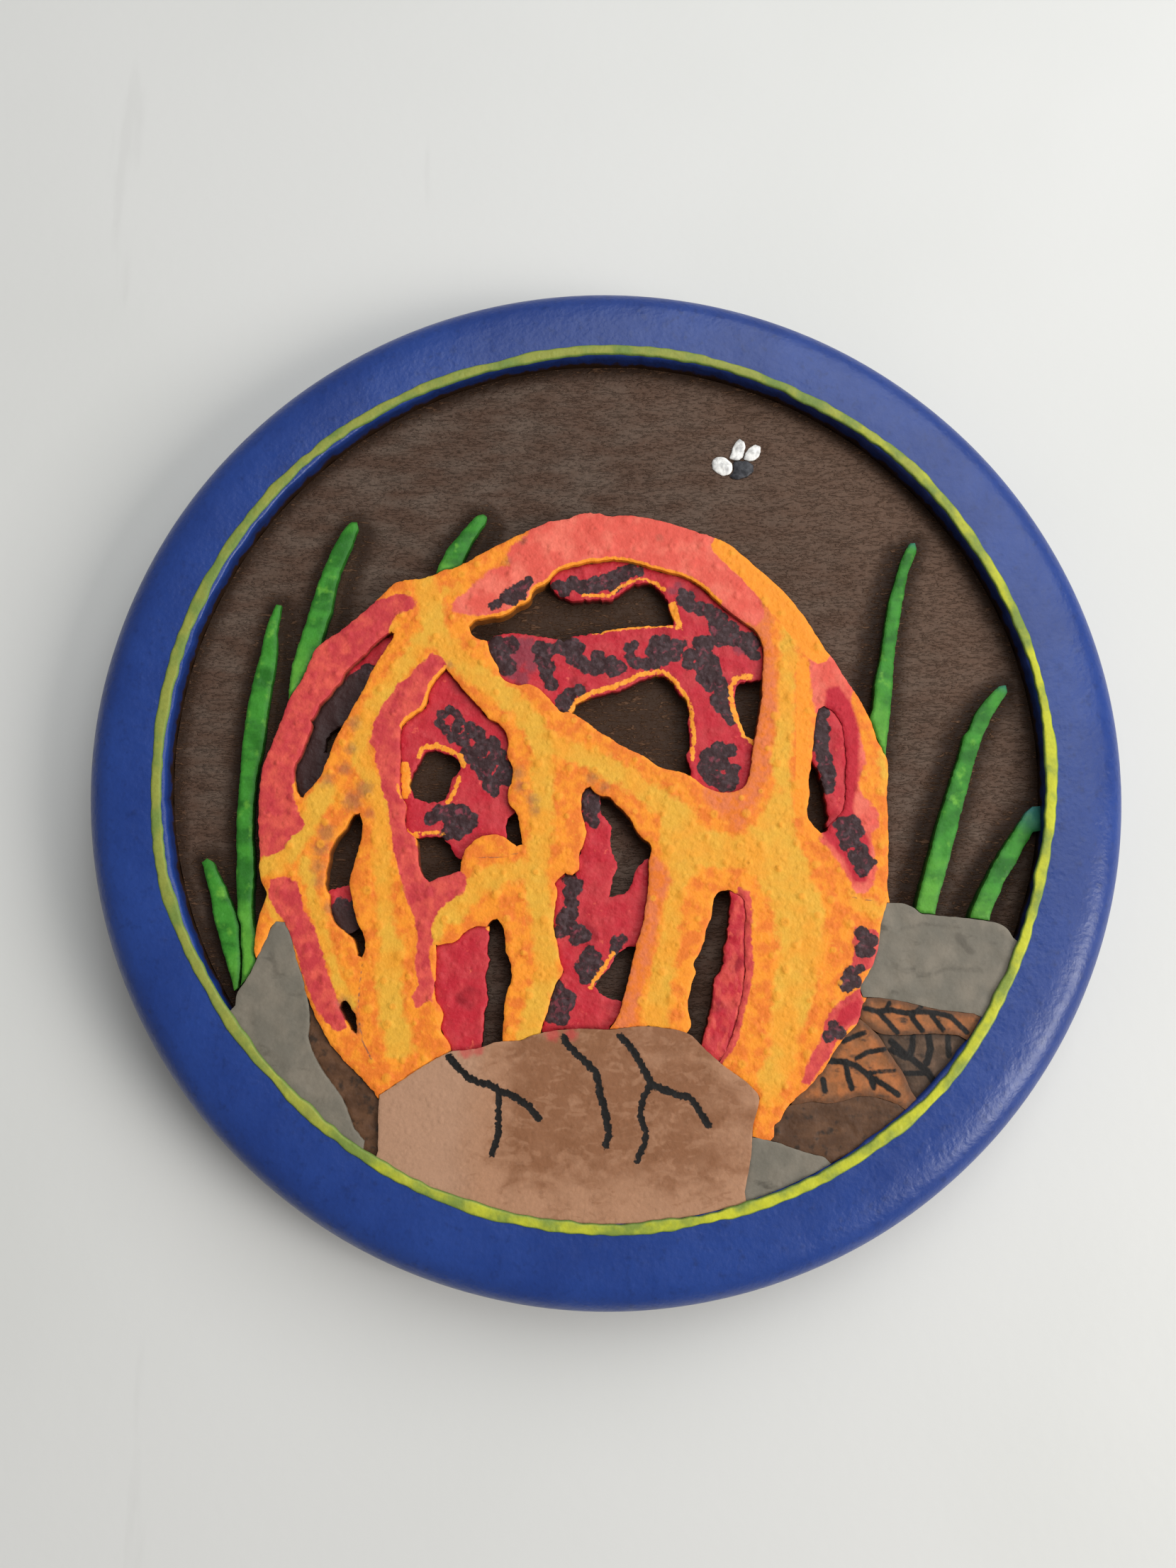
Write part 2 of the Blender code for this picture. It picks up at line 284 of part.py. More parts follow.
# Blades of grass: outline, foot and tip.
BLADES = {
    "grass_blade_short_left": (
        [
            (-48.8, -12.0), (-48.2, -11.5), (-47.5, -11.9), (-46.7, -13.4), (-45.8, -14.9),
            (-45.1, -16.4), (-44.4, -17.8), (-43.8, -19.2), (-43.6, -21.0), (-43.4, -23.0),
            (-43.2, -25.0), (-43.3, -26.9), (-43.7, -27.2), (-44.4, -25.2), (-45.3, -22.8),
            (-46.1, -20.6), (-46.8, -18.6), (-47.3, -16.4), (-48.1, -14.0),
        ],
        (-43.6, -27.0), (-48.3, -11.6),
    ),
    "grass_blade_long_left": (
        [
            (-41.3, 20.4), (-40.6, 20.3), (-40.8, 19.0), (-41.0, 17.0), (-40.9, 14.5),
            (-41.1, 12.0), (-41.3, 9.5), (-41.6, 7.0), (-41.8, 4.0), (-42.0, 1.5),
            (-42.4, -0.5), (-42.6, -3.0), (-42.7, -6.0), (-42.6, -9.0), (-42.3, -11.5),
            (-42.2, -14.0), (-42.1, -16.5), (-42.0, -19.0), (-41.5, -21.0), (-41.3, -22.8),
            (-41.4, -24.6), (-43.1, -26.8), (-43.4, -23.0), (-43.7, -20.5), (-43.8, -19.0),
            (-43.9, -17.0), (-44.2, -14.5), (-44.3, -12.0), (-44.5, -9.5), (-44.6, -7.0),
            (-44.6, -4.0), (-44.5, -1.0), (-44.5, 2.0), (-44.3, 5.0), (-44.0, 8.0),
            (-43.5, 11.0), (-43.0, 13.5), (-42.6, 16.0), (-42.0, 18.6),
        ],
        (-42.3, -25.0), (-41.0, 20.4),
    ),
    "grass_blade_upper_left": (
        [
            (-32.2, 31.3), (-31.6, 31.3), (-31.4, 30.8), (-31.6, 29.8), (-32.0, 28.4),
            (-32.7, 26.4), (-33.4, 24.4), (-33.9, 22.0), (-34.2, 19.6), (-34.8, 17.4),
            (-35.2, 15.4), (-35.6, 13.0), (-37.0, 9.0), (-38.8, 7.6), (-38.9, 9.0),
            (-38.8, 10.4), (-38.7, 12.0), (-38.2, 14.2), (-37.6, 16.6), (-37.0, 19.0),
            (-36.4, 21.6), (-35.8, 23.8), (-35.0, 26.0), (-34.2, 28.2), (-33.2, 30.2),
        ],
        (-38.5, 9.0), (-31.9, 31.3),
    ),
    "grass_blade_top": (
        [
            (-16.2, 32.2), (-15.6, 32.4), (-15.1, 32.0), (-15.3, 31.2), (-15.9, 30.2),
            (-16.6, 29.0), (-17.2, 27.6), (-17.8, 26.2), (-18.3, 25.0), (-19.0, 23.4),
            (-21.6, 22.8), (-21.1, 24.4), (-20.5, 26.0), (-19.8, 27.6), (-18.9, 28.8),
            (-18.1, 30.0), (-17.2, 31.2),
        ],
        (-20.0, 24.2), (-15.6, 32.3),
    ),
    "grass_blade_upper_right": (
        [
            (38.5, 28.6), (39.1, 28.6), (39.2, 28.2), (38.6, 26.4), (38.0, 24.6),
            (37.5, 22.6), (37.0, 20.4), (36.6, 18.4), (36.1, 16.2), (35.7, 14.0),
            (35.4, 12.0), (35.2, 10.0), (34.9, 8.0), (34.6, 6.0), (34.3, 4.0),
            (34.0, 2.2), (33.8, 0.6), (32.6, 2.0), (32.0, 4.2), (32.6, 7.0),
            (32.9, 9.0), (33.2, 11.0), (33.8, 13.0), (34.2, 15.0), (34.6, 17.2),
            (35.1, 19.4), (35.6, 21.6), (36.3, 23.6), (36.9, 25.4), (37.6, 27.2),
        ],
        (33.4, 2.0), (38.9, 28.6),
    ),
    "grass_blade_right": (
        [
            (48.9, 10.0), (49.5, 10.1), (49.6, 9.5), (48.8, 8.0), (47.8, 6.6),
            (46.9, 5.0), (46.0, 3.2), (45.3, 1.4), (44.7, -0.2), (44.1, -2.2),
            (43.4, -4.2), (42.7, -6.4), (42.1, -8.4), (41.4, -10.4), (40.8, -12.4),
            (40.1, -14.4), (39.4, -16.4), (38.9, -18.2), (38.6, -19.6), (36.4, -19.2),
            (36.6, -17.6), (37.0, -16.2), (37.6, -14.4), (38.2, -12.4), (38.9, -10.4),
            (39.5, -8.4), (40.2, -6.4), (40.9, -4.6), (41.6, -2.6), (42.2, -1.0),
            (42.8, 0.6), (43.4, 2.2), (43.8, 3.6), (44.4, 4.2), (45.0, 5.6),
            (46.0, 7.2), (47.4, 8.8),
        ],
        (37.7, -18.4), (49.4, 10.0),
    ),
    "grass_blade_low_right": (
        [
            (53.4, -4.0), (53.4, -5.6), (52.0, -7.4), (51.2, -8.8), (50.2, -10.2),
            (49.4, -11.6), (48.6, -12.8), (47.6, -14.2), (46.8, -15.8), (46.0, -17.2),
            (45.4, -18.6), (45.2, -20.0), (42.6, -19.8), (43.2, -18.0), (44.0, -16.4),
            (44.9, -14.8), (45.8, -13.2), (46.9, -11.4), (48.0, -9.8), (49.2, -8.2),
            (50.2, -6.8), (51.2, -5.6),
        ],
        (44.2, -19.2), (52.6, -5.0),
    ),
}

# The fly.
FLY_HEAD_OUTLINE = [
    (13.7, 39.4), (13.9, 40.0), (14.5, 40.3), (15.3, 40.2), (15.8, 39.8), (16.1, 39.3),
    (16.1, 38.6), (15.7, 38.1), (15.2, 38.0), (14.6, 38.2), (14.0, 38.7),
]
FLY_BODY_OUTLINE = [
    (16.5, 39.7), (17.4, 39.8), (18.3, 39.7), (18.9, 39.2), (18.8, 38.6), (18.3, 38.0),
    (17.4, 37.6), (16.5, 37.5), (16.0, 37.8), (16.5, 38.5),
]
FLY_LEFT_WING_OUTLINE = [
    (16.0, 40.3), (16.3, 41.2), (16.8, 42.2), (17.3, 42.8), (17.8, 42.5), (17.9, 41.8),
    (17.7, 41.0), (17.5, 40.4), (16.8, 40.1),
]
FLY_RIGHT_WING_OUTLINE = [
    (17.9, 40.2), (18.1, 40.9), (18.6, 41.6), (19.3, 42.0), (19.8, 41.8), (19.8, 41.0),
    (19.3, 40.3), (18.6, 40.0),
]

# Paint colours, linear red, green and blue.
BLUE = (0.035, 0.085, 0.33)
YELLOW_GREEN = (0.53, 0.55, 0.06)
GROUND_BROWN = (0.078, 0.053, 0.038)
LATTICE_YELLOW = (0.85, 0.38, 0.045)
CRIMSON = (0.58, 0.045, 0.065)
VOLVA_TAN = (0.40, 0.21, 0.13)
STONE_GREY = (0.18, 0.175, 0.145)
LEAF_BROWN = (0.23, 0.105, 0.05)
SHADOW_BROWN = (0.085, 0.05, 0.035)
SOIL_BROWN = (0.10, 0.06, 0.038)
GRASS_GREEN = (0.03, 0.26, 0.035)
FLY_WHITE = (0.80, 0.78, 0.74)
FLY_CHARCOAL = (0.045, 0.045, 0.048)
SATIN_PAINT_ROUGHNESS = 0.55
FLAT_PAINT_ROUGHNESS = 0.75


def clear_scene():
    """Remove every object, so that the model starts from nothing."""
    for thing in list(bpy.data.objects):
        bpy.data.objects.remove(thing)


def paint(thing, colour, roughness=FLAT_PAINT_ROUGHNESS):
    """Give a piece its own painted material."""
    material = bpy.data.materials.new(thing.name)
    material.use_nodes = True
    shader = material.node_tree.nodes["Principled BSDF"]
    shader.inputs["Base Color"].default_value = (*colour, 1.0)
    shader.inputs["Roughness"].default_value = roughness
    shader.inputs["Metallic"].default_value = 0.0
    thing.data.materials.append(material)


def mesh_object(name, bm):
    """Turn a bmesh whose lengths are in millimetres into an object in metres."""
    bmesh.ops.scale(bm, vec=(MM, MM, MM), verts=bm.verts)
    bmesh.ops.recalc_face_normals(bm, faces=bm.faces)
    mesh = bpy.data.meshes.new(name)
    bm.to_mesh(mesh)
    bm.free()
    thing = bpy.data.objects.new(name, mesh)
    bpy.context.scene.collection.objects.link(thing)
    return thing


def signed_area(outline):
    """Area of a closed outline, positive when it runs anticlockwise."""
    pairs = zip(outline, outline[1:] + outline[:1])
    return sum(ax * by - bx * ay for (ax, ay), (bx, by) in pairs) / 2


def offset_outline(outline, distance):
    """Move a closed outline outwards, or inwards for a negative distance, with mitred corners."""
    points = list(outline) if signed_area(outline) > 0 else list(reversed(outline))
    moved = []
    for index, (x, y) in enumerate(points):
        before = points[index - 1]
        after = points[(index + 1) % len(points)]
        first = edge_normal(before, (x, y))
        second = edge_normal((x, y), after)
        spread = max(1.0 + first[0] * second[0] + first[1] * second[1], 0.5)
        moved.append((
            x + distance * (first[0] + second[0]) / spread,
            y + distance * (first[1] + second[1]) / spread,
        ))
    return moved


def edge_normal(start, end):
    """Outward unit normal of one edge of an anticlockwise outline."""
    dx = end[0] - start[0]
    dy = end[1] - start[1]
    length = math.hypot(dx, dy)
    return dy / length, -dx / length


def plate(name, outline, bottom, top, holes=()):
    """A flat plate with holes. Its top is a height, or a function of x and y."""
    bm = bmesh.new()
    rim = []
    for loop in (outline, *holes):
        corners = [bm.verts.new((x, y, bottom)) for x, y in loop]
        rim += [bm.edges.new(pair) for pair in zip(corners, corners[1:] + corners[:1])]
    bmesh.ops.triangle_fill(bm, use_beauty=True, edges=rim)
    raised = bmesh.ops.extrude_face_region(bm, geom=bm.faces[:])
    for vert in raised["geom"]:
        if isinstance(vert, bmesh.types.BMVert):
            vert.co.z = top(vert.co.x, vert.co.y) if callable(top) else top
    return mesh_object(name, bm)


def turned(name, profile):
    """Turn a chain of (radius, height) points about the Z axis. A closed chain repeats its start."""
    bm = bmesh.new()
    chain = [bm.verts.new((radius, 0.0, height)) for radius, height in profile]
    edges = [bm.edges.new(pair) for pair in zip(chain, chain[1:])]
    bmesh.ops.spin(
        bm, geom=chain + edges, cent=(0, 0, 0), axis=(0, 0, 1),
        angle=2 * math.pi, steps=TURNED_SEGMENTS, use_merge=True,
    )
    bmesh.ops.remove_doubles(bm, verts=bm.verts, dist=0.001)
    thing = mesh_object(name, bm)
    thing.data.shade_smooth()
    thing.data.set_sharp_from_angle(angle=math.radians(35))
    return thing


def hide_helper(thing):
    """Mark a cutter, so that it isn't part of the model."""
    thing.hide_render = True
    thing.display_type = "WIRE"
    return thing


def boolean(thing, helper, operation):
    """Cut a plate with a helper solid, or keep only what lies inside it."""
    modifier = thing.modifiers.new(helper.name, "BOOLEAN")
    modifier.operation = operation
    modifier.solver = "EXACT"
    modifier.object = helper


def cut(thing, label, outline, seam=0.0):
    """Cut an outline, widened by a seam, right through a plate."""
    wide = offset_outline(outline, seam) if seam else outline
    helper = plate(f"cut_{thing.name}_{label}", wide, CUTTER_BOTTOM, CUTTER_TOP)
    boolean(thing, hide_helper(helper), "DIFFERENCE")


def keep_in_dish(thing):
    """Trim a plate to the dish, one seam away from its wall."""
    bm = bmesh.new()
    bmesh.ops.create_cone(
        bm, cap_ends=True, segments=TURNED_SEGMENTS,
        radius1=DISH_RADIUS - WALL_TAPER - SEAM, radius2=DISH_RADIUS - WALL_TAPER - SEAM,
        depth=CUTTER_TOP - CUTTER_BOTTOM,
    )
    bmesh.ops.translate(bm, vec=(0, 0, (CUTTER_TOP + CUTTER_BOTTOM) / 2), verts=bm.verts)
    helper = mesh_object(f"dish_{thing.name}", bm)
    boolean(thing, hide_helper(helper), "INTERSECT")


def arc(centre, size, first, last, power):
    """Points on a quarter of a superellipse. A power of 2 gives an ellipse, and more is squarer."""
    points = []
    for step in range(ARC_STEPS + 1):
        angle = math.radians(first + (last - first) * step / ARC_STEPS)
        across = abs(math.cos(angle)) ** (2 / power)
        up = math.copysign(abs(math.sin(angle)) ** (2 / power), angle)
        points.append((centre[0] + size[0] * across, centre[1] + size[1] * up))
    return points


def disc_base():
    """The turned disc: a rounded edge with full shoulders, a flat back, the dish and the ledge for the line."""
    back_flat = DISC_RADIUS - BACK_ROUND_WIDTH
    face_flat = DISC_RADIUS - FACE_ROUND_WIDTH
    ledge_outer = LINE_RADIUS + LINE_WIDTH / 2 + SEAM
    ledge_height = DISC_THICKNESS - LEDGE_DEPTH
    profile = [(0.0, 0.0)]
    back_size = (BACK_ROUND_WIDTH, EQUATOR_HEIGHT)
    face_size = (FACE_ROUND_WIDTH, EQUATOR_HEIGHT)
    profile += arc((back_flat, EQUATOR_HEIGHT), back_size, -90, 0, BACK_ROUND_POWER)
    profile += arc((face_flat, EQUATOR_HEIGHT), face_size, 0, 90, FACE_ROUND_POWER)[1:]
    profile += [
        (ledge_outer, DISC_THICKNESS),
        (ledge_outer, ledge_height),
        (DISH_RADIUS, ledge_height),
        (DISH_RADIUS - WALL_TAPER, DISH_FLOOR),
        (0.0, DISH_FLOOR),
    ]
    paint(turned("disc_base", profile), BLUE, SATIN_PAINT_ROUGHNESS)


def rim_line():
    """The raised bead of yellow paint around the dish, crowned along its middle."""
    inner = LINE_RADIUS - LINE_WIDTH / 2
    outer = LINE_RADIUS + LINE_WIDTH / 2
    bottom = DISC_THICKNESS - LEDGE_DEPTH + SEAM
    shoulder = DISC_THICKNESS - LINE_PROUD / 2
    crown = DISC_THICKNESS + LINE_PROUD
    profile = [
        (inner, bottom), (outer, bottom), (outer, shoulder), (LINE_RADIUS, crown), (inner, shoulder),
        (inner, bottom),
    ]
    paint(turned("rim_line", profile), YELLOW_GREEN)


def background_panel():
    """The flat ground of the picture, in the bottom of the dish."""
    radius = DISH_RADIUS - WALL_TAPER - SEAM
    profile = [(0.0, PANEL_BOTTOM), (radius, PANEL_BOTTOM), (radius, GROUND), (0.0, GROUND)]
    paint(turned("background_panel", profile), GROUND_BROWN)


def fungus_net():
    """The lattice of the fungus: one plate with all its windows."""
    windows = [
        UPPER_WINDOW, LEFT_WINDOW, CRESCENT_WINDOW, SPINDLE_WINDOW, WEDGE_WINDOW,
        LOWER_LEFT_WINDOW, CENTRE_WINDOW, LOWER_RIGHT_WINDOW, RIGHT_WINDOW,
    ]
    net = plate("fungus_net", NET_OUTLINE, RELIEF_BOTTOM, NET_TOP, windows)
    cut(net, "volva", VOLVA_OUTLINE, SEAM)
    cut(net, "rock_left", ROCK_LEFT_OUTLINE, SEAM)
    cut(net, "rock_right", ROCK_RIGHT_OUTLINE, SEAM)
    cut(net, "rock_bottom", ROCK_BOTTOM_OUTLINE, SEAM)
    paint(net, LATTICE_YELLOW)


def gleba(name, window, top, openings):
    """One piece of the inner layer, which fills a window except for its openings."""
    piece = plate(name, offset_outline(window, -SEAM), RELIEF_BOTTOM, top)
    for label, outline in openings.items():
        cut(piece, label, outline)
    paint(piece, CRIMSON)
    return piece


def gleba_pieces():
    """The inner layer seen through the windows, at two depths."""
    gleba("gleba_upper", UPPER_WINDOW, GLEBA_TOP, UPPER_OPENINGS)
    gleba("gleba_left", LEFT_WINDOW, GLEBA_TOP, LEFT_OPENINGS)
    gleba("gleba_crescent", CRESCENT_WINDOW, DEEP_GLEBA_TOP, {"strip": CRESCENT_OPENING})
    gleba("gleba_spindle", SPINDLE_WINDOW, DEEP_GLEBA_TOP, SPINDLE_OPENINGS)
    gleba("gleba_right", RIGHT_WINDOW, GLEBA_TOP, {"strip": RIGHT_OPENING})
    lower_left = gleba("gleba_lower_left", LOWER_LEFT_WINDOW, GLEBA_TOP, {"slot": LOWER_LEFT_OPENING})
    centre = gleba("gleba_centre", CENTRE_WINDOW, GLEBA_TOP, CENTRE_OPENINGS)
    lower_right = gleba("gleba_lower_right", LOWER_RIGHT_WINDOW, GLEBA_TOP, {"slot": LOWER_RIGHT_OPENING})
    for piece in (lower_left, centre, lower_right):
        cut(piece, "volva", VOLVA_OUTLINE, SEAM)


def volva():
    """The torn sac that the fungus stands in."""
    sac = plate("volva", VOLVA_OUTLINE, RELIEF_BOTTOM, VOLVA_TOP)
    keep_in_dish(sac)
    paint(sac, VOLVA_TAN)


def rocks():
    """Three stones on the ground."""
    left = plate("rock_left", ROCK_LEFT_OUTLINE, RELIEF_BOTTOM, ROCK_TOP)
    right = plate("rock_right", ROCK_RIGHT_OUTLINE, RELIEF_BOTTOM, ROCK_TOP)
    bottom = plate("rock_bottom", ROCK_BOTTOM_OUTLINE, RELIEF_BOTTOM, ROCK_TOP)
    cut(left, "volva", VOLVA_OUTLINE, SEAM)
    cut(bottom, "volva", VOLVA_OUTLINE, SEAM)
    for stone in (left, right, bottom):
        keep_in_dish(stone)
        paint(stone, STONE_GREY)


def leaves():
    """Fallen leaves on the right, one lying over the next."""
    upper = plate("leaf_upper", LEAF_UPPER_OUTLINE, RELIEF_BOTTOM, LEAF_TOP)
    cut(upper, "net", NET_OUTLINE, SEAM)
    cut(upper, "rock", ROCK_RIGHT_OUTLINE, SEAM)
    cut(upper, "lower", LEAF_LOWER_OUTLINE, SEAM)
    lower = plate("leaf_lower", LEAF_LOWER_OUTLINE, RELIEF_BOTTOM, ROCK_TOP)
    cut(lower, "net", NET_OUTLINE, SEAM)
    shadowed = plate("leaf_shadowed", LEAF_SHADOWED_OUTLINE, RELIEF_BOTTOM, SHADOW_TOP)
    cut(shadowed, "upper", LEAF_UPPER_OUTLINE, SEAM)
    cut(shadowed, "lower", LEAF_LOWER_OUTLINE, SEAM)
    paint(upper, LEAF_BROWN)
    paint(lower, LEAF_BROWN)
    paint(shadowed, SHADOW_BROWN)
    for leaf in (upper, lower, shadowed):
        keep_in_dish(leaf)


def soil():
    """Bare earth at the foot of the fungus, on either side."""
    left = plate("soil_left", SOIL_LEFT_OUTLINE, RELIEF_BOTTOM, SHADOW_TOP)
    cut(left, "net", NET_OUTLINE, SEAM)
    cut(left, "rock", ROCK_LEFT_OUTLINE, SEAM)
    cut(left, "volva", VOLVA_OUTLINE, SEAM)
    right = plate("soil_right", SOIL_RIGHT_OUTLINE, RELIEF_BOTTOM, LEAF_TOP)
    cut(right, "net", NET_OUTLINE, SEAM)
    cut(right, "leaf_lower", LEAF_LOWER_OUTLINE, SEAM)
    cut(right, "leaf_shadowed", LEAF_SHADOWED_OUTLINE, SEAM)
    cut(right, "rock", ROCK_BOTTOM_OUTLINE, SEAM)
    cut(right, "volva", VOLVA_OUTLINE, SEAM)
    for patch in (left, right):
        keep_in_dish(patch)
        paint(patch, SOIL_BROWN)


def ramp(foot, tip):
    """Height of a blade's top, which climbs evenly from its tip to its foot."""
    dx = tip[0] - foot[0]
    dy = tip[1] - foot[1]
    length_squared = dx * dx + dy * dy

    def height(x, y):
        along = ((x - foot[0]) * dx + (y - foot[1]) * dy) / length_squared
        return BLADE_FOOT_TOP + (BLADE_TIP_TOP - BLADE_FOOT_TOP) * along

    return height


def grass():
    """Blades of grass, low at the tip and high at the foot."""
    for name, (outline, foot, tip) in BLADES.items():
        blade = plate(name, outline, RELIEF_BOTTOM, ramp(foot, tip))
        cut(blade, "net", NET_OUTLINE, SEAM)
        if name == "grass_blade_long_left":
            cut(blade, "short", BLADES["grass_blade_short_left"][0], SEAM)
        if name.endswith("_left"):
            cut(blade, "rock", ROCK_LEFT_OUTLINE, SEAM)
        if name.endswith("_right"):
            cut(blade, "rock", ROCK_RIGHT_OUTLINE, SEAM)
            keep_in_dish(blade)
        paint(blade, GRASS_GREEN)


def fly():
    """A small fly on the ground above the fungus."""
    paint(plate("fly_head", FLY_HEAD_OUTLINE, RELIEF_BOTTOM, FLY_TOP), FLY_WHITE)
    paint(plate("fly_left_wing", FLY_LEFT_WING_OUTLINE, RELIEF_BOTTOM, FLY_TOP), FLY_WHITE)
    paint(plate("fly_right_wing", FLY_RIGHT_WING_OUTLINE, RELIEF_BOTTOM, FLY_TOP), FLY_WHITE)
    paint(plate("fly_body", FLY_BODY_OUTLINE, RELIEF_BOTTOM, FLY_TOP), FLY_CHARCOAL)


clear_scene()
disc_base()
rim_line()
background_panel()
fungus_net()
gleba_pieces()
volva()
rocks()
leaves()
soil()
grass()
fly()
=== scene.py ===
"""The looks of the relief plaque: carved and dimpled wood under hand-brushed acrylic paint.

Each region of the relief takes its outline from its CAD plate. The outline is smoothed, filled
with a fine mesh, carved, and painted. Paint is laid out as marks in plaque millimetres: +X runs
to the picture's right, +Y to its top, and the centre of the disc is (0, 0). Each mark becomes a
signed distance on the mesh, positive inside, and the material turns that into a ragged edge.
"""

import math

import bpy
import numpy as np
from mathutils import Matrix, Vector, geometry


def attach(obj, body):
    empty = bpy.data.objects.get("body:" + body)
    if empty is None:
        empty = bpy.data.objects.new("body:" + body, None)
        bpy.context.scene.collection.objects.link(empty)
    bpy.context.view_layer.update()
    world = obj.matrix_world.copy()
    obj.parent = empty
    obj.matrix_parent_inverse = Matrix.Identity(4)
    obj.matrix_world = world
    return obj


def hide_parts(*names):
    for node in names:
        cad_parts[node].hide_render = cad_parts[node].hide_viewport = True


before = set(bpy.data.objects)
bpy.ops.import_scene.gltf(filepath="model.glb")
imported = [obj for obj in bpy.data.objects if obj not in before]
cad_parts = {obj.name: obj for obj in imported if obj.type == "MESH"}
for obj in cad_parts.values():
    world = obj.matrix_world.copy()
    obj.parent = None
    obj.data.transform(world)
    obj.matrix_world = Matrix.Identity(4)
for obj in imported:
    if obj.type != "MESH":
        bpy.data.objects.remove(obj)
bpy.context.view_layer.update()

MM = 0.001

# Heights of carved and painted tops and feet above the back, in millimetres.
GROUND = 9.7
GROUND_FOOT = 9.05
RIM_FLOOR = 8.7
RELIEF_FOOT = 9.66
LATTICE_TOP = 12.36
SAC_TOP = 12.46
LINE_UNDER = 12.40
LINE_EDGE = 12.60
LINE_CROWN = 12.755

# Radii. A piece that comes nearer to the dish's wall than WALL_REACH runs on to WALL_INSIDE.
DISH_RADIUS = 52.95
WALL_REACH = 52.25
WALL_INSIDE = 53.12
LINE_RADIUS = 53.8
LINE_HALF_WIDTH = 0.64

# Camera: a phone held over the lower half of the plaque, tilted towards its middle.
CAMERA_PLACE = (-2.76, -27.05, 151.9)
CAMERA_TILT = (9.89, -0.19, 0.0)
CAMERA_LENS = 27.05
CAMERA_SENSOR = 36.0

# Light.
KEY_PLACE = (0.560, -0.225, 0.440)
KEY_SIZE = 0.32
KEY_POWER = 4.4
FILL_PLACE = (0.240, 0.340, 0.550)
FILL_SIZE = 0.62
FILL_POWER = 4.1
AMBIENT = 0.275
KEY_COLOUR = (1.0, 0.985, 0.96)
FILL_COLOUR = (0.93, 0.97, 1.0)
ROOM_COLOUR = (1.0, 0.995, 0.98)
TABLE_SIDE = 1.6

# Outlines: a corner that turns more than 48 degrees stays sharp, and pieces grow to close the seams.
CORNER_COSINE = math.cos(math.radians(48))
GROW = 0.15

# Mesh: the distance between points, the inset of the ridge along an edge, and points in one batch.
FINE = 0.34
COARSE = 0.62
RIDGE = 0.12
BLOCK = 3000
GROUND_CORNERS = 320
RIM_SEGMENTS = 288
LINE_SEGMENTS = 720

# Cut walls: how far down each row lies, its wobble at the top, and its lean at the foot. Points
# nearer to the outline than WALL_WIDTH belong to a wall. The shade of a side starts this far down.
WALL_ROWS = (0.12, 0.4, 0.72, 1.0)
WALL_WOBBLE = 0.025
WALL_DRAFT = 0.02
WALL_WIDTH = 0.09
SIDE_START = 0.15
BLADE_SIDE_START = 0.3

# The stylus marks of the lattice: their pitch, their sizes, and the rings of points round each.
DOT_PITCH = (3.6, 3.1)
DOT_SIZES = (0.42, 0.80)
DOT_RINGS = ((0.18, 5), (0.36, 9), (0.55, 13), (0.75, 14))
LATTICE_LIP = 0.33

# Sockets of a colour Mix node.
MIX_FACTOR, MIX_FIRST, MIX_SECOND, MIX_RESULT = 0, 6, 7, 2

# Colours, linear red, green and blue.
BLUE = (0.0088, 0.0315, 0.166)
LIGHT_BLUE = (0.0125, 0.041, 0.2)
DEEP_BLUE = (0.0055, 0.019, 0.1)
LINE_BRIGHT = (0.47, 0.47, 0.026)
LINE_YELLOW = (0.245, 0.262, 0.048)
LINE_GREEN = (0.13, 0.2, 0.042)
EARTH = (0.076, 0.0415, 0.027)
SCRUBBED_EARTH = (0.100, 0.067, 0.049)
# Painted shade: near-black brown at the foot of cut walls, in the ground's dark corners and at the foot of
# the dish wall; a browner one where the ground shows through the lattice's openings.
EARTH_SHADE = (0.019, 0.0085, 0.004)
WINDOW_SHADE_EARTH = (0.034, 0.0165, 0.0085)
FIBRE = (0.150, 0.074, 0.038)
GRIT = (0.17, 0.125, 0.095)
LINT = (0.55, 0.5, 0.45)
PALE_EARTH = (0.11, 0.062, 0.04)
YELLOW = (0.735, 0.287, 0.022)
LEMON = (0.675, 0.345, 0.034)
ORANGE = (0.69, 0.163, 0.017)
AMBER = (0.81, 0.26, 0.019)
# Painted shade on the cut walls of the lattice.
WALL_SHADE_AMBER = (0.09, 0.028, 0.009)
LIP_YELLOW = (0.80, 0.30, 0.03)
CORAL = (0.64, 0.086, 0.059)
PALE_CORAL = (0.73, 0.15, 0.10)
PEACH = (0.65, 0.16, 0.05)
ROSE = (0.47, 0.036, 0.042)
CRIMSON = (0.44, 0.0158, 0.028)
DEEP_CRIMSON = (0.27, 0.01, 0.017)
PLUM = (0.033, 0.014, 0.015)
PALE_PLUM = (0.066, 0.038, 0.042)
DEEP_PLUM = (0.036, 0.017, 0.016)
PLUM_HAZE = (0.19, 0.034, 0.050)
SMUDGE = (0.20, 0.085, 0.050)
TAN = (0.355, 0.182, 0.102)
PINK_TAN = (0.37, 0.205, 0.125)
BROWN_TAN = (0.218, 0.092, 0.042)
CHARCOAL = (0.007, 0.0055, 0.0045)
STONE = (0.14, 0.124, 0.097)
PALE_STONE = (0.188, 0.16, 0.123)
DARK_STONE = (0.074, 0.063, 0.048)
LEAF = (0.235, 0.088, 0.03)
LEAF_ORANGE = (0.345, 0.114, 0.034)
LEAF_DARK = (0.06, 0.031, 0.017)
SHADE_BROWN = (0.072, 0.041, 0.024)
PALE_SHADE = (0.125, 0.070, 0.042)
SHADE_DARK = (0.032, 0.019, 0.012)
SOIL = (0.068, 0.031, 0.015)
SOIL_LIGHT = (0.116, 0.054, 0.026)
GREEN = (0.04, 0.218, 0.02)
DARK_GREEN = (0.017, 0.118, 0.01)
LIGHT_GREEN = (0.125, 0.35, 0.035)
